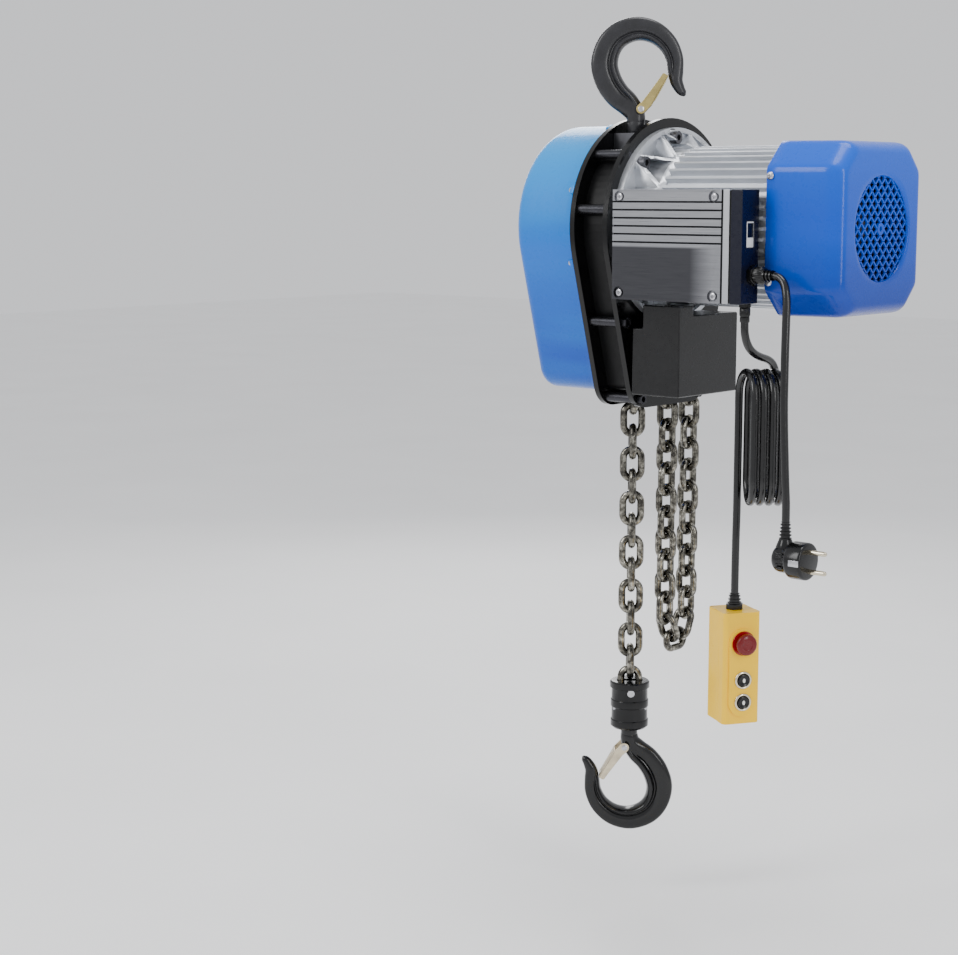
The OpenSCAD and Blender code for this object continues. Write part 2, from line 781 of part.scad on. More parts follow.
module cable_glands() {
    color([0.08, 0.08, 0.08]) {
        translate([drop_gland_x, gland_y, box_z[0]]) rotate([180, 0, 0]) gland(4, 18);
        translate([cap_x[1], gland_y, gland_z]) rotate([0, 90, 0]) difference() {
            union() {
                translate([0, 0, -4]) cylinder(h = 4 + eps, r = 6);
                cylinder(h = 6, r = 10, $fn = 6);
                translate([0, 0, 6 - eps]) cylinder(h = 10, r = 8.6);
                translate([0, 0, 16 - eps]) cylinder(h = 10, r = 6);
            }
            translate([0, 0, -5]) cylinder(h = 40, r = cord_d / 2);
        }
    }
}

// ---------- cords ----------

function unit(v) = v / norm(v);

// Direction of the route at point i.
function heading(p, i) = unit(p[min(i + 1, len(p) - 1)] - p[max(i - 1, 0)]);

// Ring of a tube around route point i; side_ref fixes its roll.
function ring(p, i, r, n) =
    let (
        t = heading(p, i),
        u = unit(cross(t, [0.3, 1, 0.1])),
        v = cross(t, u)
    )
    [for (k = [0:n - 1]) p[i] + r * (u * cos(360 * k / n) + v * sin(360 * k / n))];

// Closed skin over rings of n points each.
module skin(rings, n) {
    m = len(rings);
    polyhedron(
        points = [for (g = rings) each g],
        faces = concat(
            [[for (k = [0:n - 1]) k]],
            [[for (k = [0:n - 1]) m * n - 1 - k]],
            [for (i = [0:m - 2], k = [0:n - 1]) each [
                [i * n + k, (i + 1) * n + k, i * n + (k + 1) % n],
                [i * n + (k + 1) % n, (i + 1) * n + k, (i + 1) * n + (k + 1) % n]
            ]]
        )
    );
}

module cord_tube(route) {
    skin([for (i = [0:len(route) - 1]) ring(route, i, cord_d / 2, cord_sides)], cord_sides);
}

module power_cord() {
    color([0.08, 0.08, 0.08]) cord_tube(power_route);
}

module pendant_cord() {
    color([0.08, 0.08, 0.08]) {
        cord_tube(entry_route);
        cord_tube(drop_route);
    }
}

// Upright racetrack, extruded across the turns that lie side by side.
module cord_hank() {
    outer = hank_fold_r + cord_d / 2;
    rise = (hank_top_z - hank_bottom_z) / 2 - outer;
    color([0.1, 0.1, 0.1])
        translate([hank_front[0], hank_front[1], (hank_top_z + hank_bottom_z) / 2])
        rotate([0, 0, face_az]) translate([0, hank_fold_r, 0])
        along_x(-cord_d / 2, (hank_runs - 1) * hank_pitch + cord_d / 2) {
            for (end = [-1, 1]) translate([0, end * rise]) circle(r = outer);
            translate([-outer, -rise]) square([2 * outer, 2 * rise]);
        }
}

module power_plug() {
    color([0.1, 0.1, 0.1]) translate([235, -68, -506]) {
        difference() {
            cylinder(h = 36, r = 6);
            translate([0, 0, 36 - 4]) cylinder(h = 5, r = cord_d / 2);
        }
        rod_x(-9, 18, 14);
        rod_x(10, 27, 18.5);
    }
}

module plug_pins() {
    color([0.75, 0.75, 0.77]) translate([235, -68, -506]) for (z = [-9.5, 9.5])
        translate([0, 0, z]) rod_x(27, 46, 2.4);
}

// ---------- pendant ----------

module at_pendant() {
    translate([pendant_x, pendant_y, 0]) rotate([0, 0, pendant_az]) children();
}

// Upright slab with rounded vertical edges.
module rounded_slab(x, y0, y1, z0, z1, r) {
    for (s = [-1, 1], y = [y0 + r, y1 - r]) translate([s * (x - r), y, z0]) cylinder(h = z1 - z0, r = r);
    box_between([-x, y0 + r, z0], [x, y1 - r, z1]);
    box_between([r - x, y0, z0], [x - r, y1, z1]);
}

module pendant_case() {
    bottom = pendant_top_z - pendant_h;
    color([0.96, 0.81, 0.23]) at_pendant() difference() {
        rounded_slab(pendant_w / 2, split_y - 10, pendant_d / 2, bottom, pendant_top_z, 5);
        box_between([-40, split_y - 20, bottom - 1], [40, split_y, pendant_top_z + 1]);
        box_between([-17, split_y - 1, bottom + 3], [17, pendant_d / 2 - 3, pendant_top_z - 3]);
        translate([0, 0, pendant_top_z - 4]) cylinder(h = 5, r = 5.5);
    }
}

module button_places() {
    for (z = [up_z, down_z]) translate([0, -pendant_d / 2, z]) children();
}

// Front shell with a raised racetrack panel for the buttons.
module pendant_cover() {
    bottom = pendant_top_z - pendant_h;
    front = -pendant_d / 2;
    color([0.96, 0.81, 0.23]) at_pendant() difference() {
        union() {
            difference() {
                rounded_slab(pendant_w / 2, front, split_y + 10, bottom, pendant_top_z, 5);
                box_between([-40, split_y, bottom - 1], [40, split_y + 20, pendant_top_z + 1]);
            }
            for (z = [e_stop_z, down_z]) translate([0, front - 2.5, z]) rotate([-90, 0, 0])
                cylinder(h = 4, r = 15);
            box_between([-15, front - 2.5, down_z], [15, front + 1, e_stop_z]);
        }
        box_between([-17, front + 3, bottom + 3], [17, split_y + 1, pendant_top_z - 3]);
        translate([0, front - 5, e_stop_z]) rotate([-90, 0, 0]) cylinder(h = 20, r = 6);
        button_places() translate([0, -5, 0]) rotate([-90, 0, 0]) cylinder(h = 20, r = 8);
        translate([0, 0, pendant_top_z - 4]) cylinder(h = 5, r = 5.5);
    }
}

module button_bezels() {
    color([0.8, 0.8, 0.82]) at_pendant() {
        button_places() translate([0, -4.5, 0]) rotate([-90, 0, 0]) difference() {
            union() {
                cylinder(h = 10, r = 8);
                cylinder(h = 2, r = 9.2);
            }
            translate([0, 0, -1]) cylinder(h = 20, r = 6.4);
        }
    }
}

module push_button() {
    translate([0, -6, 0]) rotate([-90, 0, 0]) cylinder(h = 13, r = 6.34);
}

module up_button() {
    color([0.15, 0.15, 0.15]) at_pendant() translate([0, -pendant_d / 2, up_z]) push_button();
}

module down_button() {
    color([0.15, 0.15, 0.15]) at_pendant() translate([0, -pendant_d / 2, down_z]) push_button();
}

module e_stop_button() {
    color([0.55, 0.09, 0.13]) at_pendant() translate([0, -pendant_d / 2, e_stop_z]) rotate([90, 0, 0]) {
        translate([0, 0, -6]) cylinder(h = 14, r = 5.94);
        translate([0, 0, 8 - eps]) cylinder(h = 5, r = 11);
    }
}

module pendant_gland() {
    color([0.08, 0.08, 0.08]) translate([pendant_x, pendant_y, pendant_top_z]) difference() {
        union() {
            translate([0, 0, -4]) cylinder(h = 4 + eps, r = 5.5);
            cylinder(h = 6, r = 9.5, $fn = 6);
            translate([0, 0, 6 - eps]) cylinder(h = 10, r = 7);
        }
        translate([0, 0, -5]) cylinder(h = 40, r = cord_d / 2);
    }
}

// ---------- hooks ----------

// Smooth value between stations b and c, with a and d beyond them.
function blend_point(a, b, c, d, t) =
    0.5 * (2 * b + (c - a) * t + (2 * a - 5 * b + 4 * c - d) * t * t + (3 * b - a - 3 * c + d) * t * t * t);

function hook_line(steps) =
    let (s = hook_stations, n = len(hook_stations))
    concat(
        [for (i = [0:n - 2], k = [0:steps - 1])
            blend_point(s[max(i - 1, 0)], s[i], s[i + 1], s[min(i + 2, n - 1)], k / steps)],
        [s[n - 1]]
    );

// Section at a station: an egg, thicker on the side of the bowl.
function hook_ring(s, i) =
    let (
        d = unit([s[min(i + 1, len(s) - 1)][0] - s[max(i - 1, 0)][0],
                  s[min(i + 1, len(s) - 1)][1] - s[max(i - 1, 0)][1]]),
        out = [-d[1], d[0]]
    )
    [for (k = [0:hook_sides - 1])
        let (a = 360 * k / hook_sides, w = s[i][2] * cos(a), t = s[i][3] * sin(a) * (1 - 0.22 * cos(a)))
        [s[i][0] + out[0] * w, -t, s[i][1] + out[1] * w]];

// The forging, its shank up and its mouth towards -X; journal is the turned end of the shank.
module hook(journal_top) {
    line = hook_line(3);
    difference() {
        union() {
            skin([for (i = [0:len(line) - 1]) hook_ring(line, i)], hook_sides);
            translate([0, 0, 56]) cylinder(h = 14, r = shank_d / 2);
            translate([0, 0, 69]) cylinder(h = journal_top - 69, r = hook_journal_r);
        }
        translate([latch_pivot[0], -20, latch_pivot[1]]) rotate([-90, 0, 0]) cylinder(h = 40, r = 2.03);
    }
    translate([latch_pivot[0], -13, latch_pivot[1]]) rotate([-90, 0, 0]) cylinder(h = 26, r = 2);
}

// Hexagon nut on the end of a hook's journal, bottom face at z.
module hook_nut(z, h) {
    difference() {
        translate([0, 0, z]) cylinder(h = h, r = 12.7, $fn = 6);
        translate([0, 0, z - 1]) cylinder(h = h + 2, r = hook_journal_r + 0.03);
    }
}

module at_upper_hook() {
    translate([0, 0, upper_hook_z]) rotate([0, 0, hook_az]) rotate([0, 180, 0]) children();
}

module at_lower_hook() {
    translate([0, 0, lower_hook_z]) rotate([0, 0, hook_az]) children();
}

module upper_hook() {
    color([0.28, 0.28, 0.3]) at_upper_hook() {
        hook(102.4);
        hook_nut(92.8, 9);
    }
}

module lower_hook() {
    color([0.06, 0.06, 0.06]) at_lower_hook() {
        hook(93.6);
        hook_nut(84.6, 9);
    }
}

// Sheet latch: two ears on the pin, and a web that closes the mouth against the point.
module latch() {
    translate([latch_pivot[0], 0, latch_pivot[1]]) rotate([0, latch_angle, 0]) difference() {
        union() {
            for (side = [0, 1]) mirror([0, side, 0]) {
                translate([0, 10.6, 0]) rotate([-90, 0, 0]) cylinder(h = 1.6, r = 5);
                translate([-6, 12.2, 0]) rotate([90, 0, 0]) linear_extrude(1.6)
                    polygon([[0, 0], [9, 0], [7, -20], [4.5, -35], [0, -35]]);
            }
            box_between([-7.5, -12.2, -43], [-6, 12.2, -9]);
        }
        translate([0, -20, 0]) rotate([-90, 0, 0]) cylinder(h = 40, r = 2.06);
    }
}

module upper_latch() {
    color([0.72, 0.66, 0.42]) at_upper_hook() latch();
}

module lower_latch() {
    color([0.78, 0.74, 0.64]) at_lower_hook() latch();
}

// ---------- hook block ----------

// Round housing: cavity for the hook's nut, slot for the last link, cross pin and screws.
module block_body() {
    difference() {
        rotate_extrude($fn = 96) polygon([
            [0, block_bottom_z], [18, block_bottom_z], [20.5, block_bottom_z + 2.5],
            [20.5, block_bottom_z + 9], [19.5, block_bottom_z + 10], [19.5, block_bottom_z + 23],
            [20.5, block_bottom_z + 24], [20.5, block_bottom_z + 31], [19.6, block_bottom_z + 32],
            [19.6, block_top_z - 8], [21.5, block_top_z - 7], [21.5, block_top_z - 1.5],
            [20, block_top_z], [0, block_top_z]
        ]);
        translate([0, 0, block_bottom_z - 1]) cylinder(h = 10, r = shank_d / 2 + 0.4);
        translate([0, 0, block_bottom_z + 8]) cylinder(h = 10, r = hook_journal_r + 0.06);
        translate([0, 0, block_bottom_z + 17.3]) cylinder(h = 10, r = 13.4);
        rotate([0, 0, face_az]) {
            box_between([-14, -4.3, -703.6], [14, 4.3, block_top_z + 1]);
            translate([0, -30, chain_pin_z]) rotate([-90, 0, 0]) cylinder(h = 60, r = wire_r);
            for (side = [-1, 1]) translate([side * 17, -30, -709]) rotate([-90, 0, 0])
                cylinder(h = 60, r = 1.5);
        }
    }
}

chain_pin_z = block_link_z - link_pitch / 2 + wire_r + 0.1;

module hook_block_half(front) {
    intersection() {
        block_body();
        rotate([0, 0, face_az]) translate([-30, front ? -30 : 0, -740]) cube([60, 30, 80]);
    }
}

module hook_block_front() {
    color([0.07, 0.07, 0.07]) hook_block_half(true);
}

module hook_block_back() {
    color([0.07, 0.07, 0.07]) hook_block_half(false);
}

module hook_block_screws() {
    color([0.5, 0.5, 0.52]) rotate([0, 0, face_az]) for (side = [-1, 1])
        translate([side * 17, -8, -709]) rotate([-90, 0, 0]) cylinder(h = 16, r = 1.5);
}

module chain_pin() {
    color([0.6, 0.6, 0.62]) rotate([0, 0, face_az]) translate([0, -19, chain_pin_z])
        rotate([-90, 0, 0]) cylinder(h = 38, r = wire_r);
}

left_side_plate();
right_side_plate();
chain_guard();
stay_bolts();
hook_yoke();
chain_anchor_pin();
sheave_bearings();
shaft_bearings();
gear_cover();
casing_screws();
gear_carrier();
motor_flange();
flange_bolts();
motor_housing();
rear_end_shield();
stator_core();
stator_windings();
brake_coil();
fan_cover();
control_box();
control_box_lid();
control_box_gaskets();
control_box_end_cap();
contactor();
transformer();
lower_box();
capacitor();
cable_glands();
sheave_chain();
pendant_case();
pendant_cover();
pendant_gland();
button_bezels();
power_cord();
power_plug();
plug_pins();
pendant_cord();
cord_hank();
motor_shaft();
rotor_core();
brake_disc();
cooling_fan();
brake_armature();
idler_1();
idler_2();
load_sheave();
load_gear();
hook_block_front();
hook_block_back();
hook_block_screws();
chain_pin();
load_chain();
slack_chain();
upper_hook();
upper_latch();
lower_hook();
lower_latch();
e_stop_button();
up_button();
down_button();
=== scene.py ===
import json
import math

import bmesh
import bpy
from mathutils import Euler, Matrix, Vector

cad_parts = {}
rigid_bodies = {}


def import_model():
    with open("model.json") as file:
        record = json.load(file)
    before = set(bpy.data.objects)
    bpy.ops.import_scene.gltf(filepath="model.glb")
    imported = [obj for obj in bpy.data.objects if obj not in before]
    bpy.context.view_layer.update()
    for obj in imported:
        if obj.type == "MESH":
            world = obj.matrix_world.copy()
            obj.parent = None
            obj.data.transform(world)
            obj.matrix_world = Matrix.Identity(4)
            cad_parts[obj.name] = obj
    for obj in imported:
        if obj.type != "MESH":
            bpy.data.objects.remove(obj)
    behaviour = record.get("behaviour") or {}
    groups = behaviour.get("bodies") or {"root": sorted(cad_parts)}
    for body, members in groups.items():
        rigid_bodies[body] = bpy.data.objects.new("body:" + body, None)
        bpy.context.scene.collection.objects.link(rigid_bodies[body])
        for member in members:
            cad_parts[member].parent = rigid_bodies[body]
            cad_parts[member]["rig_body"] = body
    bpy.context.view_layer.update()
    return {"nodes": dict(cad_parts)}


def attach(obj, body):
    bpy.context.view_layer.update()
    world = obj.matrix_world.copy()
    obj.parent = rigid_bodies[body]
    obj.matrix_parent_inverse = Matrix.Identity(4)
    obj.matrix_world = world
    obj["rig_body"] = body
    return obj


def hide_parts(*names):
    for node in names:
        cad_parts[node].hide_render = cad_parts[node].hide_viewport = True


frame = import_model()
NODES = frame["nodes"]
MM = 0.001

# ---------- camera: the photograph's point of view ----------

camera_data = bpy.data.cameras.new("camera")
camera = bpy.data.objects.new("camera", camera_data)
bpy.context.scene.collection.objects.link(camera)
camera.location = (1.2306, -1.6653, -0.1521)
camera.rotation_euler = Euler((math.radians(81.6), 0, math.radians(41.0)), "XYZ")
camera_data.sensor_fit = "HORIZONTAL"
camera_data.sensor_width = 36
camera_data.lens = 73.28
camera_data.clip_end = 30
bpy.context.scene.camera = camera


# ---------- materials ----------


def srgb(r, g, b):
    """Colour given as 0-255 display values, as the renderer's linear ones."""
    out = []
    for v in (r, g, b):
        v = v / 255
        out.append(v / 12.92 if v <= 0.04045 else ((v + 0.055) / 1.055) ** 2.4)
    return tuple(out) + (1.0,)


def shade(colour, k):
    return tuple(min(1.0, c * k) for c in colour[:3]) + (1.0,)


class Graph:
    """A material's node tree, with short calls for the nodes used here."""

    def __init__(self, name):
        self.mat = bpy.data.materials.new(name)
        self.mat.use_nodes = True
        self.tree = self.mat.node_tree
        self.bsdf = self.tree.nodes["Principled BSDF"]
        self.coord = self.tree.nodes.new("ShaderNodeTexCoord").outputs["Object"]

    def node(self, kind, **props):
        n = self.tree.nodes.new(kind)
        for k, v in props.items():
            setattr(n, k, v)
        return n

    def link(self, a, b):
        self.tree.links.new(a, b)

    def mapped(self, scale=(1, 1, 1), turn=(0, 0, 0)):
        m = self.node("ShaderNodeMapping")
        m.inputs["Scale"].default_value = scale
        m.inputs["Rotation"].default_value = turn
        self.link(self.coord, m.inputs["Vector"])
        return m.outputs["Vector"]

    def noise(self, scale, detail=4, rough=0.55, stretch=(1, 1, 1)):
        n = self.node("ShaderNodeTexNoise")
        n.inputs["Scale"].default_value = scale
        n.inputs["Detail"].default_value = detail
        n.inputs["Roughness"].default_value = rough
        self.link(self.mapped(stretch), n.inputs["Vector"])
        return n.outputs["Fac"]

    def ramp(self, fac, stops):
        r = self.node("ShaderNodeValToRGB")
        el = r.color_ramp.elements
        while len(el) < len(stops):
            el.new(0.5)
        for e, (pos, col) in zip(el, stops):
            e.position = pos
            e.color = col
        self.link(fac, r.inputs["Fac"])
        return r.outputs["Color"]

    def span(self, fac, low, high, from_low=0.3, from_high=0.7):
        m = self.node("ShaderNodeMapRange")
        m.inputs["From Min"].default_value = from_low
        m.inputs["From Max"].default_value = from_high
        m.inputs["To Min"].default_value = low
        m.inputs["To Max"].default_value = high
        self.link(fac, m.inputs["Value"])
        return m.outputs["Result"]

    def mix(self, fac, a, b):
        m = self.node("ShaderNodeMix", data_type="RGBA")
        if isinstance(fac, float):
            m.inputs[0].default_value = fac
        else:
            self.link(fac, m.inputs[0])
        for socket, value in ((m.inputs[6], a), (m.inputs[7], b)):
            if isinstance(value, tuple):
                socket.default_value = value
            else:
                self.link(value, socket)
        return m.outputs[2]

    def math(self, operation, *values):
        m = self.node("ShaderNodeMath", operation=operation)
        for socket, value in zip(m.inputs, values):
            if isinstance(value, float):
                socket.default_value = value
            else:
                self.link(value, socket)
        return m.outputs[0]

    def height(self):
        s = self.node("ShaderNodeSeparateXYZ")
        self.link(self.coord, s.inputs[0])
        return s.outputs

    def colour(self, value):
        if isinstance(value, tuple):
            self.bsdf.inputs["Base Color"].default_value = value
        else:
            self.link(value, self.bsdf.inputs["Base Color"])

    def rough(self, value):
        if isinstance(value, float):
            self.bsdf.inputs["Roughness"].default_value = value
        else:
            self.link(value, self.bsdf.inputs["Roughness"])

    def bump(self, heights, strength=0.2, distance=0.0002):
        b = self.node("ShaderNodeBump")
        b.inputs["Strength"].default_value = strength
        b.inputs["Distance"].default_value = distance
        self.link(heights, b.inputs["Height"])
        self.link(b.outputs["Normal"], self.bsdf.inputs["Normal"])


def surface(
    name,
    colour,
    rough,
    metal=0.0,
    coat=0.0,
    blotch=0.12,
    blotch_size=30,
    grain=900,
    grain_depth=0.00006,
    rough_swing=0.08,
    stretch=(1, 1, 1),
    bump_strength=0.3,
    specular=0.5,
):
    """Uneven colour over centimetres, uneven gloss over millimetres and a fine grain."""
    g = Graph(name)
    big = g.noise(blotch_size, 5, 0.6)
    g.colour(g.ramp(big, [(0.3, shade(colour, 1 - blotch)), (0.7, shade(colour, 1 + blotch))]))
    mid = g.noise(blotch_size * 6, 6, 0.65, stretch)
    g.rough(g.span(mid, max(0.03, rough - rough_swing), rough + rough_swing))
    g.bsdf.inputs["Metallic"].default_value = metal
    g.bsdf.inputs["Specular IOR Level"].default_value = specular
    g.bsdf.inputs["Coat Weight"].default_value = coat
    g.bsdf.inputs["Coat Roughness"].default_value = 0.08
    g.bump(g.noise(grain, 3, 0.5, stretch), bump_strength, grain_depth)
    return g.mat


BLACK_GLOSS = surface(
    "black_gloss", srgb(6, 6, 7), 0.2, coat=0.18, blotch=0.25, grain=500, grain_depth=0.00005, specular=0.25
)
BLACK_SATIN = surface("black_satin", srgb(12, 12, 13), 0.42, blotch=0.2, specular=0.25)
# Painted shade: a dark steel for the stay bolts, darkened for the shade between the side plates.
STAY_SHADE_STEEL = surface("stay_steel_painted_shade", srgb(62, 62, 66), 0.3, metal=0.9, blotch=0.2, blotch_size=90)
ZINC = surface("zinc", srgb(196, 196, 200), 0.3, metal=1.0, blotch=0.15, blotch_size=120, grain=1400)
DARK_STEEL = surface("dark_steel", srgb(92, 92, 96), 0.36, metal=0.9, blotch=0.2, grain=700)
BEARING = surface("bearing_steel", srgb(205, 205, 210), 0.2, metal=1.0, grain=1500, grain_depth=0.00002)
CAST_IRON = surface(
    "cast_iron", srgb(84, 84, 88), 0.6, metal=0.5, blotch=0.2, grain=650, grain_depth=0.0003, bump_strength=0.5
)
CORE = surface("core_steel", srgb(110, 110, 114), 0.45, metal=0.9, stretch=(40, 1, 1), grain=60, grain_depth=0.0003)
COPPER = surface("copper", srgb(186, 104, 56), 0.38, metal=0.7, stretch=(20, 1, 1), grain=120, grain_depth=0.0005)
RUBBER = surface("rubber", srgb(10, 10, 10), 0.62, blotch=0.2, grain=1200, specular=0.25)
NAVY = surface("navy_plastic", srgb(9, 12, 30), 0.3, blotch=0.15, grain=1600, grain_depth=0.00008, specular=0.3)
DARK_PLASTIC = surface("dark_plastic", srgb(20, 20, 22), 0.45, grain=1400, grain_depth=0.00008, specular=0.3)
WHITE_PLASTIC = surface("white_plastic", srgb(220, 220, 214), 0.45, blotch=0.05, grain=1400)
BLACK_PLASTIC = surface(
    "black_plastic", srgb(7, 7, 8), 0.22, blotch=0.2, grain=1500, grain_depth=0.00005, specular=0.4
)
YELLOW = surface(
    "yellow_plastic", srgb(252, 200, 0), 0.34, coat=0.1, blotch=0.04, grain=1500, grain_depth=0.00012, specular=0.3
)
CHROME = surface("chrome", srgb(216, 206, 182), 0.16, metal=1.0, blotch=0.06, grain=900, grain_depth=0.00002)
GEAR_STEEL = surface("gear_steel", srgb(150, 146, 138), 0.3, metal=1.0, blotch=0.2, grain=800)
HOOK_BLACK = surface(
    "hook_black", srgb(5, 5, 6), 0.22, coat=0.3, blotch=0.3, blotch_size=60, grain=420, grain_depth=0.00018,
    bump_strength=0.4, specular=0.3,
)
HOOK_GREY = surface(
    "hook_graphite", srgb(36, 36, 39), 0.36, coat=0.15, blotch=0.25, blotch_size=60, grain=420,
    grain_depth=0.0002, bump_strength=0.4, specular=0.4,
)
LATCH_ZINC = surface("latch_zinc", srgb(190, 172, 112), 0.32, metal=0.85, blotch=0.18, blotch_size=90)
LATCH_PALE = surface("latch_pale", srgb(206, 194, 168), 0.34, metal=0.75, blotch=0.18, blotch_size=90)
RED = surface(
    "red_plastic", srgb(104, 2, 8), 0.24, coat=0.25, blotch=0.12, grain=1500, grain_depth=0.00005, specular=0.3
)
RED_RING = surface(
    "red_ring", srgb(150, 6, 14), 0.22, coat=0.3, blotch=0.1, grain=1500, grain_depth=0.00005, specular=0.3
)
CORD = surface(
    "cord_rubber", srgb(9, 9, 10), 0.24, coat=0.3, blotch=0.2, grain=1500, grain_depth=0.00008, specular=0.4
)
# Painted highlight: the pale colour of the oval dot on each push button.
BUTTON_HIGHLIGHT_WHITE = surface("button_highlight_white", srgb(232, 232, 228), 0.5, blotch=0.04, grain=1500)


def cast_aluminium():
    """Bead-blasted casting: pale, faintly mottled, with a sandy skin."""
    g = Graph("cast_aluminium")
    base = srgb(214, 217, 222)
    big = g.noise(18, 5, 0.6)
    g.colour(g.ramp(big, [(0.3, shade(base, 0.86)), (0.7, shade(base, 1.04))]))
    g.rough(g.span(g.noise(260, 5), 0.3, 0.46))
    g.bsdf.inputs["Metallic"].default_value = 0.75
    g.bump(g.noise(1100, 4, 0.7), 0.4, 0.00016)
    return g.mat


def brushed(name, tone, lid_painted_light=False):
    """Drawn aluminium with streaks along X; on the lid, painted shade in its grooves, and below them darker as a
    painted dark reflection, brighter again at the right edge as a painted highlight.
    """
    g = Graph(name)
    streak = g.noise(40, 8, 0.7, (0.6, 30, 30))
    base = g.ramp(streak, [(0.3, shade(tone, 0.86)), (0.7, shade(tone, 1.1))])
    if lid_painted_light:
        xyz = g.height()
        # Painted reflection: below the grooves the colour is darkened as a dark reflection, and towards the right
        # edge it brightens back as a painted highlight.
        lower = g.span(xyz["Z"], 0.0, 1.0, -0.2095, -0.2075)
        right = g.span(xyz["X"], 0.0, 0.85, 0.126, 0.152)
        dark_reflection_and_edge_highlight = g.mix(right, g.mix(0.86, base, srgb(40, 40, 45)), base)
        # Painted shade: dark stripes at the groove heights, where shade falls in the grooves.
        phase = g.math("FRACT", g.math("MULTIPLY_ADD", xyz["Z"], -125.0, -20.625))
        groove = g.math("MULTIPLY", g.math("GREATER_THAN", phase, 0.775), g.math("LESS_THAN", xyz["Z"], -0.163))
        groove = g.math("MULTIPLY", groove, lower)
        base = g.mix(groove, g.mix(lower, dark_reflection_and_edge_highlight, base), srgb(26, 26, 28))
    g.colour(base)
    g.rough(g.span(streak, 0.24, 0.44))
    g.bsdf.inputs["Metallic"].default_value = 0.9
    g.bump(streak, 0.1, 0.00004)
    return g.mat


def enamel(name, high, mid, low, z_high, z_low):
    """Glossy blue enamel with painted light: paler towards the top and deeper below, lightened in soft waves as a
    painted sheen, with uneven gloss and orange peel.
    """
    g = Graph(name)
    # Painted light: the colour runs from the deeper blue below to the paler blue at the top, where the light falls.
    fac = g.span(g.height()["Z"], 0.0, 1.0, z_low, z_high)
    base = g.ramp(fac, [(0.0, low), (0.55, mid), (1.0, high)])
    # Painted sheen: soft waves where the colour is lightened towards a paler blue.
    painted_sheen = g.noise(9, 3, 0.5, (0.3, 0.6, 2.6))
    g.colour(g.mix(g.span(painted_sheen, 0.0, 0.18, 0.45, 0.75), base, shade(high, 1.25)))
    g.rough(g.span(g.noise(140, 4), 0.24, 0.34))
    g.bsdf.inputs["Specular IOR Level"].default_value = 0.2
    g.bsdf.inputs["Coat Weight"].default_value = 0.22
    g.bsdf.inputs["Coat Roughness"].default_value = 0.05
    g.bump(g.noise(420, 3, 0.5), 0.12, 0.00012)
    return g.mat


def chain_steel():
    """Blackened lifting chain: dark body, brighter where links have rubbed."""
    g = Graph("chain_steel")
    rub = g.noise(170, 6, 0.65)
    g.colour(g.ramp(rub, [(0.4, srgb(66, 64, 60)), (0.54, srgb(122, 119, 110)), (0.68, srgb(190, 186, 174))]))
    g.rough(g.span(rub, 0.3, 0.16))
    g.bsdf.inputs["Metallic"].default_value = 1.0
    g.bump(g.noise(700, 5, 0.6), 0.35, 0.00015)
    return g.mat


def floor_material():
    g = Graph("floor")
    g.colour(g.ramp(g.noise(3, 4), [(0.3, srgb(246, 246, 246)), (0.7, srgb(250, 250, 250))]))
    g.rough(0.7)
    g.bump(g.noise(60, 3), 0.05, 0.0005)
    return g.mat


ALUMINIUM = cast_aluminium()
# The lid carries painted shade in its grooves, a painted dark reflection below them and a painted highlight at its
# right edge.
LID = brushed("brushed_lid", srgb(150, 151, 155), True)
BOX = brushed("brushed_box", srgb(186, 188, 192))
# Painted light: each blue is given paler at the top and deeper below.
COVER_BLUE = enamel("gear_cover_blue", srgb(0, 150, 222), srgb(0, 106, 206), srgb(0, 60, 168), -0.085, -0.365)
FAN_BLUE = enamel("fan_cover_blue", srgb(0, 86, 208), srgb(0, 72, 190), srgb(0, 50, 150), -0.11, -0.27)
CHAIN = chain_steel()
LOWER_BOX = surface(
    "lower_box_black", srgb(14, 14, 15), 0.3, coat=0.15, blotch=0.35, blotch_size=22, grain=300,
    grain_depth=0.0002, specular=0.35,
)


# ---------- mesh helpers ----------


def put(name, verts, faces, material, body, slot, stands_for=(), smooth=True, sharp=35):
    """A mesh piece in millimetres, riding on a body."""
    mesh = bpy.data.meshes.new(name)
    mesh.from_pydata([Vector(v) * MM for v in verts], [], faces)
    bm = bmesh.new()
    bm.from_mesh(mesh)
    bmesh.ops.remove_doubles(bm, verts=bm.verts, dist=1e-6)
    bmesh.ops.recalc_face_normals(bm, faces=bm.faces)
    bm.to_mesh(mesh)
    bm.free()
    obj = bpy.data.objects.new(name, mesh)
    bpy.context.scene.collection.objects.link(obj)
    mesh.materials.append(material)
    if smooth:
        mesh.shade_smooth()
        mesh.set_sharp_from_angle(angle=math.radians(sharp))
    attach(obj, body)
    if stands_for:
        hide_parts(*stands_for)
    return obj


def loft(rings, closed_ends=True):
    """Faces between rings of equal length, with flat ends."""
    n = len(rings[0])
    verts = [v for ring in rings for v in ring]
    faces = []
    for i in range(len(rings) - 1):
        for k in range(n):
            a, b = i * n + k, i * n + (k + 1) % n
            faces.append((a, b, b + n, a + n))
    if closed_ends:
        faces.append(tuple(range(n)))
        faces.append(tuple(range((len(rings) - 1) * n, len(rings) * n)))
    return verts, faces


def lathe(profile, n=96, closed=False):
    """Rings of [radius, z] about Z; closed joins the last ring to the first, as for a ring."""
    rings = [
        [(r * math.cos(2 * math.pi * k / n), r * math.sin(2 * math.pi * k / n), z) for k in range(n)]
        for r, z in profile
    ]
    verts, faces = loft(rings, not closed)
    if closed:
        m = len(rings)
        for k in range(n):
            a, b = (m - 1) * n + k, (m - 1) * n + (k + 1) % n
            faces.append((a, b, (k + 1) % n, k))
    return verts, faces


def moved(part, matrix):
    verts, faces = part
    return [tuple(matrix @ Vector(v)) for v in verts], faces


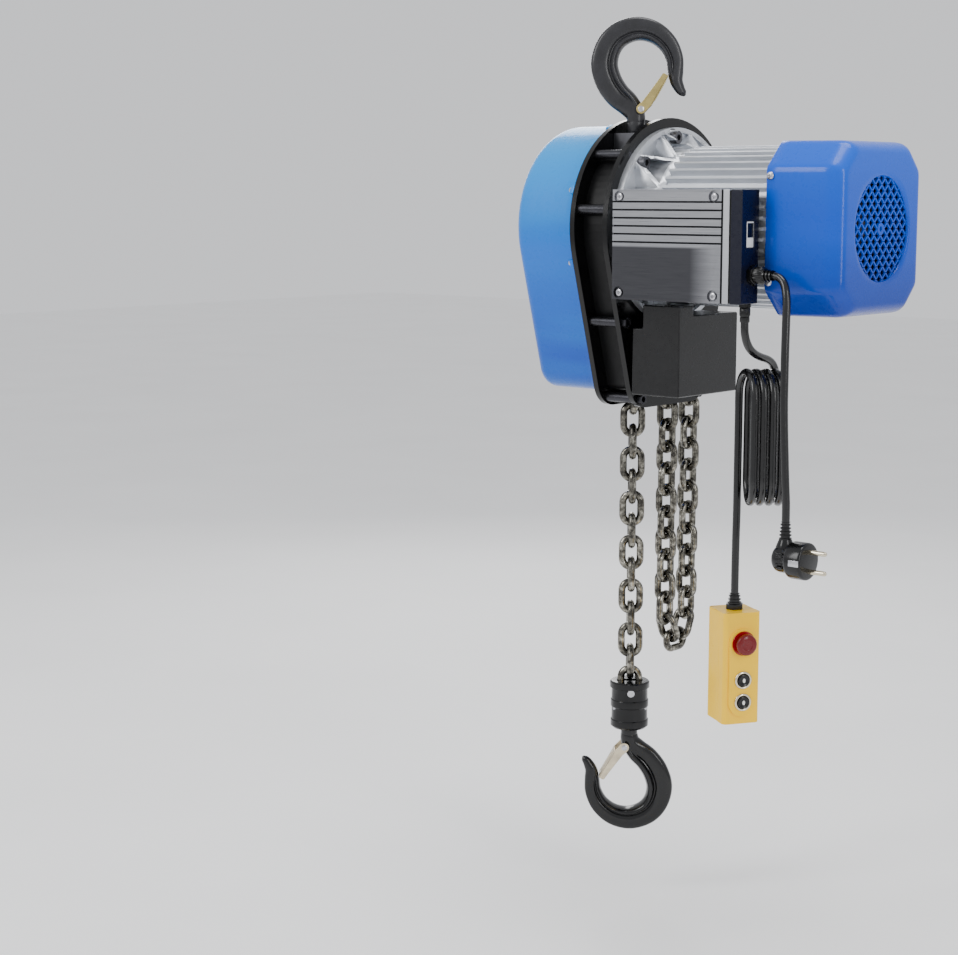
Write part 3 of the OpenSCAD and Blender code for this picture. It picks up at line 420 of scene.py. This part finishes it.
def joined(*parts):
    verts, faces = [], []
    for v, f in parts:
        base = len(verts)
        verts += list(v)
        faces += [tuple(i + base for i in face) for face in f]
    return verts, faces


def place(x, y, z, rx=0, ry=0, rz=0):
    return Matrix.Translation((x, y, z)) @ Euler(
        (math.radians(rx), math.radians(ry), math.radians(rz)), "XYZ"
    ).to_matrix().to_4x4()


def rounded_box(x0, x1, y0, y1, z0, z1, r, steps=4):
    """A box whose twelve edges are rounded to r."""
    bm = bmesh.new()
    bmesh.ops.create_cube(bm, size=1)
    for v in bm.verts:
        v.co = Vector((
            x0 + (v.co.x + 0.5) * (x1 - x0),
            y0 + (v.co.y + 0.5) * (y1 - y0),
            z0 + (v.co.z + 0.5) * (z1 - z0),
        ))
    bmesh.ops.bevel(bm, geom=bm.edges[:], offset=r, segments=steps, profile=0.5, affect="EDGES")
    bm.verts.index_update()
    verts = [tuple(v.co) for v in bm.verts]
    faces = [tuple(v.index for v in f.verts) for f in bm.faces]
    bm.free()
    return verts, faces


def softened(node, width, material, segments=3, angle=32):
    """A copy of a CAD node's mesh with its hard edges rounded, shown in place of it."""
    source = NODES[node]
    mesh = source.data.copy()
    bm = bmesh.new()
    bm.from_mesh(mesh)
    bmesh.ops.remove_doubles(bm, verts=bm.verts, dist=2e-6)
    bmesh.ops.dissolve_limit(
        bm, angle_limit=math.radians(1.0), verts=bm.verts, edges=bm.edges, delimit={"NORMAL"}
    )
    bmesh.ops.recalc_face_normals(bm, faces=bm.faces)
    bm.to_mesh(mesh)
    bm.free()
    obj = bpy.data.objects.new(node + "_finished", mesh)
    bpy.context.scene.collection.objects.link(obj)
    mesh.materials.clear()
    mesh.materials.append(material)
    bevel = obj.modifiers.new("edges", "BEVEL")
    bevel.width = width * MM
    bevel.segments = segments
    bevel.limit_method = "ANGLE"
    bevel.angle_limit = math.radians(angle)
    bevel.use_clamp_overlap = True
    bevel.harden_normals = True
    bevel.miter_outer = "MITER_ARC"
    mesh.shade_smooth()
    mesh.set_sharp_from_angle(angle=math.radians(angle))
    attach(obj, source["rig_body"])
    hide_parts(node)
    return obj


def paint(node, material):
    mesh = NODES[node].data
    mesh.materials.clear()
    mesh.materials.append(material)


def smooth_line(points, steps):
    """Catmull-Rom through points of any length, with steps spans between each pair."""
    out = []
    n = len(points)
    for i in range(n - 1):
        a, b, c, d = points[max(i - 1, 0)], points[i], points[i + 1], points[min(i + 2, n - 1)]
        for k in range(steps):
            t = k / steps
            out.append(tuple(
                0.5 * (2 * q + (r - p) * t + (2 * p - 5 * q + 4 * r - s) * t * t + (3 * q - p - 3 * r + s) * t ** 3)
                for p, q, r, s in zip(a, b, c, d)
            ))
    out.append(tuple(points[-1]))
    return out


# ---------- shared places, repeated from the CAD source in millimetres ----------

WIRE_R = 3.85
SHEAVE_R = 0.5 * math.sqrt(
    (24 / math.sin(math.radians(22.5))) ** 2 + (8 / math.cos(math.radians(22.5))) ** 2
)
AXIS = (0, SHEAVE_R, -190)
HOOK_AZ = 36.5
FACE_AZ = 41
HOOK_STATIONS = [
    (0, 66, 7, 7), (0, 58, 9.4, 9.2), (2, 49.5, 10.4, 9.4), (9.5, 40, 12.4, 9.6),
    (20, 30.5, 13.4, 10), (29, 17, 14, 10.4), (33.6, 0, 14.2, 10.6), (29.5, -17.5, 13.8, 10.6),
    (18.5, -30, 13.2, 10.4), (1, -36, 12.4, 10.2), (-17, -32.5, 11.4, 9.8), (-31, -21.5, 10.2, 9),
    (-38.4, -7, 9.2, 8.2), (-40, 7, 8.2, 7.4), (-41, 17, 6.8, 6.4), (-44.6, 25, 5.4, 5.4),
    (-48, 29.5, 4, 4.2), (-49.4, 31.4, 2.2, 2.4),
]
LATCH_PIVOT = (-5, 46)
AT_UPPER = place(0, 0, -23.6, rz=HOOK_AZ) @ place(0, 0, 0, ry=180)
AT_LOWER = place(0, 0, -798, rz=HOOK_AZ)


def pear(r, w, h, cr, n=72):
    a = math.acos((r - cr) / math.hypot(w, h)) - math.atan2(h, w)

    def arc(c, radius, a0, a1, m):
        return [
            (c[0] + radius * math.cos(a0 + (a1 - a0) * i / m), c[1] + radius * math.sin(a0 + (a1 - a0) * i / m))
            for i in range(m + 1)
        ]

    def side(p, q, m):
        return [(p[0] + (q[0] - p[0]) * i / m, p[1] + (q[1] - p[1]) * i / m) for i in range(1, m)]

    top = arc((0, 0), r, a, math.pi - a, n)
    left = arc((-w, -h), cr, math.pi - a, 1.5 * math.pi, 20)
    right = arc((w, -h), cr, -math.pi / 2, a, 20)
    lower = left + side(left[-1], right[0], 10) + right
    return top + side(top[-1], left[0], 12) + lower + side(right[-1], top[0], 12)


# ---------- hooks ----------


# Half of a forged section: [place across, from the bowl side to the back, and half thickness].
FORGED_SECTION = [
    (-1, 0), (-0.98, 0.3), (-0.93, 0.56), (-0.86, 0.77), (-0.76, 0.96), (-0.64, 1.06), (-0.55, 1.05),
    (-0.48, 0.93), (-0.42, 0.72), (-0.37, 0.56), (-0.3, 0.52), (-0.2, 0.6), (-0.05, 0.68), (0.2, 0.7),
    (0.5, 0.67), (0.75, 0.6), (0.88, 0.51), (0.96, 0.36), (1, 0),
]


def forged_ring(x, z, w, t, out, forged):
    """Section between round (forged = 0) and beaded web (forged = 1)."""
    side = []
    for u, h in FORGED_SECTION:
        side.append((u, (1 - forged) * math.sqrt(1 - u * u) + forged * h))
    loop = side + [(u, -h) for u, h in reversed(side[1:-1])]
    return [(x + out[0] * w * u, t * h, z + out[1] * w * u) for u, h in loop]


def hook_body():
    """Forged hook: a raised bead along the bowl, a groove beside it and a flatter web behind."""
    line = smooth_line(HOOK_STATIONS, 9)
    rings = []
    for i, (x, z, w, t) in enumerate(line):
        p, q = line[max(i - 1, 0)], line[min(i + 1, len(line) - 1)]
        d = Vector((q[0] - p[0], q[1] - p[1])).normalized()
        rise = min(1.0, max(0.0, (i - 14) / 22))
        fall = min(1.0, max(0.0, (len(line) - 22 - i) / 26))
        forged = min(rise, fall) ** 2 * (3 - 2 * min(rise, fall))
        rings.append(forged_ring(x, z, w, t, (-d[1], d[0]), forged))
    tip = line[-1]
    d = Vector((tip[0] - line[-2][0], tip[1] - line[-2][1])).normalized()
    last = rings[-1]
    centre = Vector((tip[0], 0, tip[1]))
    for grow, shrink in ((0.7, 0.8), (1.2, 0.45)):
        rings.append([
            tuple(centre + (Vector(v) - centre) * shrink + Vector((d[0], 0, d[1])) * grow) for v in last
        ])
    return loft(rings)


def hook_shank(journal_top):
    return lathe([
        (8.6, 56), (9, 58), (9, 68.6), (8.6, 69.4), (8, 70), (8, journal_top - 1), (7, journal_top),
    ], 64)


def hex_nut(flats, z0, z1):
    r = flats / 2 / math.cos(math.radians(30))
    prof = [(r - 1.2, z0), (r, z0 + 0.7), (r, z1 - 0.7), (r - 1.2, z1)]
    return lathe(prof, 6)


def latch_pin():
    x, z = LATCH_PIVOT
    return joined(
        moved(lathe([(1.6, -13), (2, -12.6), (2, 12.6), (1.6, 13)], 32), place(x, 0, z, rx=90)),
        *[
            moved(lathe([(2, 12.3), (3, 12.4), (3.1, 12.9), (2.4, 13.3), (1, 13.45)], 32),
                  place(x, 0, z, rx=90 * s))
            for s in (-1, 1)
        ],
    )


def hook(name, at, journal_top, nut_z, material, body, node, slot):
    put(name, *moved(joined(hook_body(), hook_shank(journal_top), hex_nut(22, nut_z, nut_z + 9)), at),
        material, body, slot, [node], sharp=40)
    put(name + "_pin", *moved(latch_pin(), at), ZINC, body, slot)


def latch_sheet():
    """Pressed channel: two ears joined by a web, 1.5 mm sheet with rounded bends."""
    outline = [
        (-7.5, -9), (-7.5, -42.2), (-6.9, -43), (-2.2, -43), (-1.2, -41.8), (-0.4, -33), (1.2, -20), (2.7, -8),
        (4.6, -2.4), (5, 0), (4.2, 2.8), (2.4, 4.5), (0, 5), (-2.6, 4.3), (-4.4, 2.4), (-5.2, 0), (-6.2, -4.5),
    ]
    ears = []
    for side in (-1, 1):
        y0, y1 = 10.8 * side, 12.2 * side
        inner = [(x, y0, z) for x, z in outline]
        outer = [(x, y1, z) for x, z in outline]
        ears.append(loft([inner, outer]))
    web = rounded_box(-7.5, -6, -12.2, 12.2, -43, -9, 0.5, 2)
    bead = rounded_box(-8.1, -6.9, -2.2, 2.2, -38, -14, 0.55, 3)
    return joined(*ears, web, bead)


def latch(name, at, material, body, node):
    x, z = LATCH_PIVOT
    local = place(x, 0, z) @ place(0, 0, 0, ry=29.5)
    obj = put(name, *moved(latch_sheet(), at @ local), material, body, "plated_latch", [node])
    bevel = obj.modifiers.new("edges", "BEVEL")
    bevel.width = 0.0003
    bevel.segments = 2
    bevel.limit_method = "ANGLE"
    bevel.angle_limit = math.radians(40)


hook("upper_hook_forging", AT_UPPER, 102.4, 92.8, HOOK_GREY, "upper_hook", "upper_hook", "dark_forged_steel")
hook("lower_hook_forging", AT_LOWER, 93.6, 84.6, HOOK_BLACK, "lower_hook", "lower_hook", "black_block_paint")
latch("upper_latch_sheet", AT_UPPER, LATCH_ZINC, "upper_latch", "upper_latch")
latch("lower_latch_sheet", AT_LOWER, LATCH_PALE, "lower_latch", "lower_latch")


# ---------- gear cover ----------


def gear_cover():
    """Drawn cover: straight wall, round edge and a faintly crowned face."""
    rings = []
    for x, d in [(-24, 0), (-24.6, -0.35), (-26, -0.4), (-26.6, 0)]:
        rings.append((x, d))
    for i in range(1, 9):
        rings.append((-26.6 - 65 * i / 8, 0))
    for i in range(1, 13):
        a = math.pi / 2 * i / 12
        rings.append((-91.6 - 14.2 * math.sin(a), 14 * (1 - math.cos(a))))
    for d in (20, 30, 44, 60, 76):
        rings.append((-105.8 - 0.2 * (d - 14) / 62, d))
    out = []
    for x, d in rings:
        scale = max(0.0, 1 - max(0.0, d - 24) / 81)
        if d <= 24:
            pts = pear(105 - d, 41, 148, max(2.0, 26 - d))
        else:
            pts = [(p * scale, (q + 40) * scale - 40) for p, q in pear(81, 41, 148, 2.0)]
        out.append([(x, AXIS[1] + p, AXIS[2] + q) for p, q in pts])
    part = loft(out)
    put("gear_cover_shell", *part, COVER_BLUE, "frame", "blue_paint", ["gear_cover"], sharp=50)


LUG_ANGLES = (35, 75, 112, 160, 200)


def cover_lugs():
    """Folded tabs on the cover's edge and the screws through them."""
    tabs, heads = [], []
    for a in LUG_ANGLES:
        at = place(*AXIS, rx=a)
        tabs.append(moved(rounded_box(-29, -24.05, 103, 112, -4.5, 4.5, 0.8, 3), at))
        heads.append(moved(pan_screw(4.6, 0.8), at @ place(-29, 108.5, 0, ry=-90)))
    put("gear_cover_tabs", *joined(*tabs), COVER_BLUE, "frame", "blue_paint")
    return heads


def pan_screw(length, head=1.0):
    """Cross-head pan screw, its head standing on z = 0; the cross is cut into the crown."""
    n = 48
    rings = []
    crown = [(3.7, 0.05), (4, 0.45), (3.9, 1.2), (3.4, 2.0), (2.5, 2.45)]
    for r, z in [(1.6, -length), (2, -length + 0.6), (2, 0)] + [(r * head, z) for r, z in crown]:
        rings.append([(r * math.cos(2 * math.pi * k / n), r * math.sin(2 * math.pi * k / n), z) for k in range(n)])
    for r, z, cut in [(2.1, 2.55, 0.0), (1.9, 2.58, 0.9), (1.0, 2.6, 1.3), (0.5, 2.6, 1.6)]:
        ring = []
        for k in range(n):
            a = 2 * math.pi * k / n
            near = abs(((math.degrees(a) + 45) % 90) - 45)
            width = math.degrees(math.asin(min(1.0, 0.42 / max(r, 0.45))))
            deep = cut if near < width else 0.0
            ring.append((r * math.cos(a), r * math.sin(a), z - deep))
        rings.append(ring)
    return loft(rings)


def all_screws():
    heads = cover_lugs()
    for side in (1, -1):
        for z in (51, -51):
            heads.append(moved(pan_screw(8), place(197, AXIS[1] - FAN_HALF * side, AXIS[2] + z, rx=90 * side)))
    for x in (39, 153):
        for z in (-255, -159):
            heads.append(moved(pan_screw(7), place(x, -77.4, z, rx=90)))
    put("casing_screw_set", *joined(*heads), ZINC, "frame", "zinc_steel", ["casing_screws"], sharp=30)


FAN_HALF = 80
FAN_HIGH = 85
FAN_CUT = (FAN_HALF + FAN_HIGH - 26) / math.sqrt(2)

gear_cover()
all_screws()


# ---------- fan cover ----------


def fan_radius(theta, inset, p):
    """Polar radius of a rectangle with cut corners, its corners rounded by the power p."""
    total = 0.0
    for k in range(4):
        half = (FAN_HIGH if k % 2 else FAN_HALF) - inset
        total += (max(0.0, math.cos(theta - k * math.pi / 2)) / half) ** p
        total += (max(0.0, math.cos(theta - (k + 0.5) * math.pi / 2)) / (FAN_CUT - inset)) ** p
    return total ** (-1 / p)


def fan_ring(x, inset, p, circle=None, blend=0.0, n=192):
    ring = []
    for k in range(n):
        a = 2 * math.pi * k / n
        r = fan_radius(a, inset, p)
        if circle:
            r = r * (1 - blend) + circle * blend
        ring.append((x, AXIS[1] + r * math.cos(a), AXIS[2] + r * math.sin(a)))
    return ring


def fan_cover():
    """Pressed cover: rounded octagonal can, rolled rear edge and a round grille in its end."""
    rings = [fan_ring(192.6, 2.6, 120), fan_ring(192, 1.6, 120), fan_ring(192, 0.6, 120), fan_ring(192.8, 0, 120)]
    for i in range(1, 7):
        rings.append(fan_ring(192.8 + 10.2 * i, 0.1 * i, 120))
    for i in range(1, 13):
        a = math.pi / 2 * i / 12
        rings.append(fan_ring(254 + 20.6 * math.sin(a), 0.6 + 12.4 * (1 - math.cos(a)), 110 - 4 * i))
    for i in range(1, 7):
        rings.append(fan_ring(274.6, 13, 62, 52.5, i / 6))
    for r, x in ((52, 274.3), (51.4, 273.6), (51, 272.4), (50.6, 271.2)):
        rings.append([
            (x, AXIS[1] + r * math.cos(2 * math.pi * k / 192), AXIS[2] + r * math.sin(2 * math.pi * k / 192))
            for k in range(192)
        ])
    verts, faces = loft(rings, closed_ends=False)
    obj = put("fan_cover_shell", verts, faces, FAN_BLUE, "frame", "blue_paint", ["fan_cover"], sharp=60)
    wall = obj.modifiers.new("wall", "SOLIDIFY")
    wall.thickness = 0.0012
    wall.offset = -1


def fan_grille():
    """Diamond lattice: two sets of flat bars crossing in the round opening, and a hub ring."""
    parts = []
    pitch = 8.6
    for turn in (45, -45):
        for i in range(-6, 7):
            off = (i + 0.5) * pitch
            if abs(off) > 49.5:
                continue
            half = math.sqrt(51.4 ** 2 - off ** 2)
            bar = rounded_box(270.2, 272.6, off - 0.95, off + 0.95, -half, half, 0.35, 2)
            parts.append(moved(bar, place(0, AXIS[1], AXIS[2], rx=turn)))
    hub = lathe([(2.4, 269.8), (6.2, 269.8), (6.2, 272.4), (5.7, 273), (2.9, 273), (2.4, 272.4)], 48, closed=True)
    parts.append(moved(hub, place(0, AXIS[1], AXIS[2], ry=90)))
    put("fan_grille", *joined(*parts), FAN_BLUE, "frame", "blue_paint", sharp=40)


fan_cover()
fan_grille()


# ---------- cords ----------

POWER_ROUTE = [
    (212, -62, -234), (219, -63, -236), (225, -65, -241), (229, -67.5, -249),
    (231, -69, -260), (231.5, -70, -280), (231.5, -70.5, -305), (231.5, -70.5, -330),
    (231.5, -70.5, -355), (232, -70, -380), (233, -69.5, -405), (234, -69, -430),
    (235, -68.3, -452), (235, -68, -474),
]
ENTRY_ROUTE = [
    (179.5, -62, -280), (179.5, -61.6, -289), (179.5, -58.6, -298), (179.3, -52, -306),
    (179, -42, -312), (178.6, -30, -316), (178.2, -18, -319), (177.9, -8, -324),
    (177.5, -1.5, -333), (177.3, 0.4, -345), (177.3, 0.4, -358),
]
DROP_ROUTE = [
    (149.5, -23.8, -436), (149.5, -23.8, -456), (149.5, -23.8, -476), (149.3, -24, -496),
    (149.1, -24, -516), (149, -24, -536), (149, -24, -559),
]
HANK_PITCH = 9.2
HANK_TOP = -355
HANK_BOTTOM = -437
HANK_R = 24


def hank_point(across, deep, z):
    c, s = math.cos(math.radians(FACE_AZ)), math.sin(math.radians(FACE_AZ))
    return (181 + across * c - deep * s, -60 + across * s + deep * c, z)


def hank_turns():
    """Racetrack turns side by side: down at the back, up at the front, one pitch over at the top."""
    pts = []
    for turn in range(4, 0, -1):
        x = turn * HANK_PITCH
        for i in range(1, 8):
            pts.append(hank_point(x, 48, HANK_TOP + (HANK_BOTTOM - HANK_TOP) * i / 8))
        for i in range(0, 13):
            a = math.pi * i / 12
            pts.append(hank_point(x, 24 + 24 * math.cos(a), HANK_BOTTOM - HANK_R * math.sin(a)))
        for i in range(1, 8):
            pts.append(hank_point(x, 0, HANK_BOTTOM + (HANK_TOP - HANK_BOTTOM) * i / 8))
        for i in range(0, 13):
            a = math.pi * i / 12
            f = i / 12
            over = HANK_PITCH * f * f * (3 - 2 * f)
            pts.append(hank_point(x - over, 24 - 24 * math.cos(a), HANK_TOP + HANK_R * math.sin(a)))
    for i in range(1, 8):
        pts.append(hank_point(0, 48, HANK_TOP + (HANK_BOTTOM - HANK_TOP) * i / 8))
    return pts


def cord_curve(name, points, steps, stands_for):
    line = smooth_line(points, steps)
    data = bpy.data.curves.new(name, "CURVE")
    data.dimensions = "3D"
    spline = data.splines.new("POLY")
    spline.points.add(len(line) - 1)
    for p, q in zip(spline.points, line):
        p.co = (q[0] * MM, q[1] * MM, q[2] * MM, 1)
    data.bevel_depth = 0.004
    data.bevel_resolution = 6
    data.use_fill_caps = True
    data.materials.append(CORD)
    obj = bpy.data.objects.new(name, data)
    bpy.context.scene.collection.objects.link(obj)
    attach(obj, "frame")
    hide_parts(*stands_for)
    length = sum((Vector(b) - Vector(a)).length for a, b in zip(line, line[1:])) * MM
    return obj, length


def ribbed_relief(z0, z1, r0, r1, ribs):
    """Tapered strain relief with rings moulded round it."""
    prof = [(r0, z0)]
    for i in range(ribs):
        a, b = i / ribs, (i + 0.5) / ribs
        ra, rb = r0 + (r1 - r0) * a, r0 + (r1 - r0) * b
        za, zb = z0 + (z1 - z0) * a, z0 + (z1 - z0) * b
        step = (z1 - z0) / ribs * 0.08
        prof += [(ra, za + step), (ra, zb - step), (rb - 1.3, zb), (rb - 1.3, z0 + (z1 - z0) * (i + 1) / ribs)]
    prof.append((r1, z1))
    return lathe(prof, 48)


def plug():
    """Angled round mains plug: flat-sided body, round face and a ribbed relief on top."""
    at = place(235, -68, -506)
    body = moved(lathe([
        (0.2, -10.2), (7, -10), (11, -8.6), (13.2, -6), (14, -2), (14, 3), (14.4, 5.5), (16.4, 7.6), (18, 9.6),
        (18.4, 11), (18.4, 24), (18.2, 25.6), (17.4, 26.6), (15.8, 27), (0.2, 27),
    ], 96), at @ place(0, 0, 0, ry=90))
    neck = moved(lathe([(9.4, 4), (9, 12), (7.4, 16), (6.6, 18), (6.2, 19)], 64), at)
    relief = moved(ribbed_relief(19, 36, 6.2, 4.7, 5), at)
    grips = []
    for side in (-1, 1):
        for i in range(5):
            z = -7 + 3.5 * i
            rib = rounded_box(-6, 2, 12.8, 14.6, z - 0.8, z + 0.8, 0.5, 2)
            grips.append(moved(rib, at @ place(0, 0, 0, rz=0 if side > 0 else 180)))
    earth = []
    for side in (-1, 1):
        clip = rounded_box(15, 26, 17.4, 18.7, -3, 3, 0.3, 2)
        earth.append(moved(clip, at @ place(0, 0, 0, rx=0 if side > 0 else 180)))
    plug_body = put(
        "plug_body", *joined(body, neck, relief, *grips), BLACK_PLASTIC, "frame", "black_plastic",
        ["power_plug"], sharp=40,
    )
    clips = put("plug_earth_clips", *joined(*earth), ZINC, "frame", "zinc_steel")
    pins = []
    for z in (-9.5, 9.5):
        pin = lathe([(2.4, 26.8), (2.4, 44.2), (2.2, 45.2), (1.5, 45.9), (0.4, 46)], 40)
        pins.append(moved(pin, at @ place(0, 0, z, ry=90)))
    pin_set = put("plug_pin_set", *joined(*pins), CHROME, "frame", "zinc_steel", ["plug_pins"])
    return [plug_body, clips, pin_set]


def glands():
    """Dome-nut glands: hexagon, fluted nut and a soft collar round the cord."""
    def fluted(r, z0, z1, flutes):
        rings = []
        n = flutes * 6
        for z, k in ((z0, 0.93), (z0 + 0.6, 1), (z1 - 2.4, 1), (z1 - 0.8, 0.9), (z1, 0.78)):
            rings.append([
                ((r * k - 0.35 * (1 if i % 6 in (2, 3) else 0)) * math.cos(2 * math.pi * i / n),
                 (r * k - 0.35 * (1 if i % 6 in (2, 3) else 0)) * math.sin(2 * math.pi * i / n), z)
                for i in range(n)
            ])
        return loft(rings)

    drop = place(179.5, -62, -262, rx=180)
    out = place(186, -62, -234, ry=90)
    return put("cable_gland_set", *joined(
        moved(hex_nut(11.4, -0.2, 4), drop), moved(fluted(5.4, 4, 13, 12), drop),
        moved(lathe([(4.9, 13), (4.9, 17.4), (4.5, 18)], 40), drop),
        moved(hex_nut(17.4, -0.2, 6), out), moved(fluted(8.6, 6, 16, 16), out),
        moved(ribbed_relief(16, 26, 6.4, 4.8, 3), out),
    ), BLACK_PLASTIC, "frame", "black_plastic", ["cable_glands"], sharp=35)


plug_pieces = plug()
gland_set = glands()
power_lead, power_length = cord_curve("power_lead", POWER_ROUTE, 4, ["power_cord"])
lead_points = ENTRY_ROUTE[:-1] + hank_turns() + DROP_ROUTE[1:]
pendant_lead, pendant_length = cord_curve(
    "pendant_lead", lead_points, 3, ["pendant_cord", "cord_hank"]
)


# ---------- pendant ----------

PENDANT = place(149, -24, 0, rz=58)
FRONT = -21.5


def e_stop():
    """Mushroom button: domed red cap over a stem, with a brighter ring round it."""
    at = PENDANT @ place(0, FRONT, -606, rx=90)
    cap = lathe([(5.9, -6), (5.9, 7.6), (9.6, 8), (10.8, 8.8), (11, 9.8), (10.8, 11), (10, 12.2), (8.2, 12.9),
                 (5.6, 13), (5.2, 12.6), (4.6, 12.5), (0.2, 12.7)], 72)
    put("e_stop_cap", *moved(cap, at), RED, "e_stop_button", "red_plastic", ["e_stop_button"], sharp=40)
    collar = lathe([(6.4, -0.4), (12.4, -0.4), (12.6, 2.7), (12.2, 3.3), (6.4, 3.3)], 72, closed=True)
    put("e_stop_collar", *moved(collar, at), RED_RING, "frame", "red_plastic", sharp=40)


def push_button(name, z, body, node):
    """Round button with a dished crown and a small pale oval dot at its centre, a painted highlight."""
    at = PENDANT @ place(0, FRONT, z, rx=90)
    cap = lathe([(6.34, -7), (6.34, 4.8), (6.1, 5.6), (5.4, 6), (4.4, 5.7), (0.2, 5.2)], 64)
    put(name, *moved(cap, at), BLACK_PLASTIC, body, "black_plastic", [node], sharp=40)
    # Painted highlight: a pale oval dot where the crown catches the light.
    highlight_dot = lathe([(1.7, 4.6), (1.7, 5.5), (1.4, 5.8), (0.1, 5.9)], 40)
    put(name + "_highlight_dot", *moved(highlight_dot, at @ Matrix.Diagonal((0.85, 1.35, 1, 1))), BUTTON_HIGHLIGHT_WHITE, body, "white_plastic")


def bezels():
    rings = []
    for z in (-644, -667):
        at = PENDANT @ place(0, FRONT, z, rx=90)
        rings.append(moved(lathe([
            (6.45, -5), (8, -5), (8, 2.5), (9.2, 2.55), (9.2, 3.4), (8.7, 4.2), (7.6, 4.5), (6.9, 4.3), (6.45, 3.6),
        ], 72, closed=True), at))
    put("button_bezel_set", *joined(*rings), CHROME, "frame", "chrome_ring", ["button_bezels"], sharp=50)


def pendant_gland():
    at = place(149, -24, -575)
    put("pendant_gland_nut", *moved(joined(
        hex_nut(16.4, -0.2, 6), ribbed_relief(6, 16, 7, 5.4, 3)), at),
        BLACK_PLASTIC, "frame", "black_plastic", ["pendant_gland"], sharp=35)


e_stop()
push_button("up_button_cap", -644, "up_button", "up_button")
push_button("down_button_cap", -667, "down_button", "down_button")
bezels()
pendant_gland()
softened("pendant_case", 1.2, YELLOW, 4)
softened("pendant_cover", 1.0, YELLOW, 4)


# ---------- control box window ----------


def cap_window():
    """Pale plate in the recess of the box's end cap, with a dark half."""
    pale = rounded_box(184.4, 185.5, -70.4, -58.6, -207.4, -182.6, 0.4, 2)
    put("cap_window_plate", *pale, WHITE_PLASTIC, "frame", "white_plastic", sharp=40)
    dark = rounded_box(185.2, 185.9, -69.4, -59.6, -198, -184, 0.3, 2)
    put("cap_window_blank", *dark, BLACK_PLASTIC, "frame", "black_plastic", sharp=40)


cap_window()


# ---------- CAD nodes shown with rounded edges ----------

for node, width, material, slot in (
    ("left_side_plate", 0.8, BLACK_GLOSS, "black_gloss_paint"),
    ("right_side_plate", 0.8, BLACK_GLOSS, "black_gloss_paint"),
    ("control_box", 0.6, BOX, "brushed_aluminium"),
    ("control_box_lid", 0.35, LID, "brushed_aluminium"),
    ("control_box_end_cap", 1.4, NAVY, "navy_plastic"),
    ("control_box_gaskets", 0.3, RUBBER, "black_rubber"),
    ("lower_box", 1.6, LOWER_BOX, "black_painted_box"),
    ("hook_block_front", 0.5, BLACK_GLOSS, "black_block_paint"),
    ("hook_block_back", 0.5, BLACK_GLOSS, "black_block_paint"),
    ("motor_flange", 0.6, ALUMINIUM, "cast_aluminium"),
    ("flange_bolts", 0.5, DARK_STEEL, "dark_machined_steel"),
    # The stay bolts take the dark steel of painted shade between the plates.
    ("stay_bolts", 0.5, STAY_SHADE_STEEL, "zinc_steel"),
):
    softened(node, width, material)


# ---------- CAD nodes shown as they are, with their own finish ----------

for material, names in (
    (BLACK_SATIN, ("chain_guard",)),
    (DARK_STEEL, ("hook_yoke", "load_sheave", "motor_shaft", "brake_armature", "brake_coil")),
    (ZINC, ("chain_anchor_pin", "hook_block_screws", "chain_pin")),
    (BEARING, ("sheave_bearings", "shaft_bearings")),
    (CAST_IRON, ("gear_carrier",)),
    (ALUMINIUM, ("motor_housing", "rear_end_shield")),
    (CORE, ("stator_core", "rotor_core")),
    (COPPER, ("stator_windings", "transformer")),
    (DARK_PLASTIC, ("contactor", "cooling_fan", "brake_disc")),
    (WHITE_PLASTIC, ("capacitor",)),
    (CHAIN, ("sheave_chain", "load_chain", "slack_chain")),
    (GEAR_STEEL, ("idler_1", "idler_2", "load_gear")),
):
    for node in names:
        paint(node, material)


# ---------- floor and light ----------

floor_mesh = bpy.data.meshes.new("floor")
floor_mesh.from_pydata([(-9, -9, -0.92), (9, -9, -0.92), (9, 9, -0.92), (-9, 9, -0.92)], [], [(0, 1, 2, 3)])
floor = bpy.data.objects.new("floor", floor_mesh)
bpy.context.scene.collection.objects.link(floor)
floor_mesh.materials.append(floor_material())

world = bpy.data.worlds.new("studio")
bpy.context.scene.world = world
world.use_nodes = True
world.node_tree.nodes["Background"].inputs["Color"].default_value = (0.96, 0.97, 1.0, 1)
world.node_tree.nodes["Background"].inputs["Strength"].default_value = 0.9


def softbox(name, at, aim, size, watts, colour=(1, 1, 1)):
    data = bpy.data.lights.new(name, "AREA")
    data.shape = "RECTANGLE"
    data.size, data.size_y = size
    data.energy = watts
    data.color = colour
    obj = bpy.data.objects.new(name, data)
    bpy.context.scene.collection.objects.link(obj)
    obj.location = at
    obj.rotation_euler = (Vector(aim) - Vector(at)).to_track_quat("-Z", "Y").to_euler()


softbox("key", (-0.9, -1.9, 0.9), (0, 0, -0.3), (0.8, 1.4), 26)
softbox("side", (2.0, -0.5, 0.3), (0.1, 0, -0.3), (0.4, 1.6), 14)
softbox("top", (0.2, 0.1, 1.6), (0.1, 0, -0.2), (0.9, 0.9), 18)
softbox("rim", (-1.4, 1.4, 0.5), (0, 0, -0.3), (0.6, 1.4), 14)

bpy.context.view_layer.update()
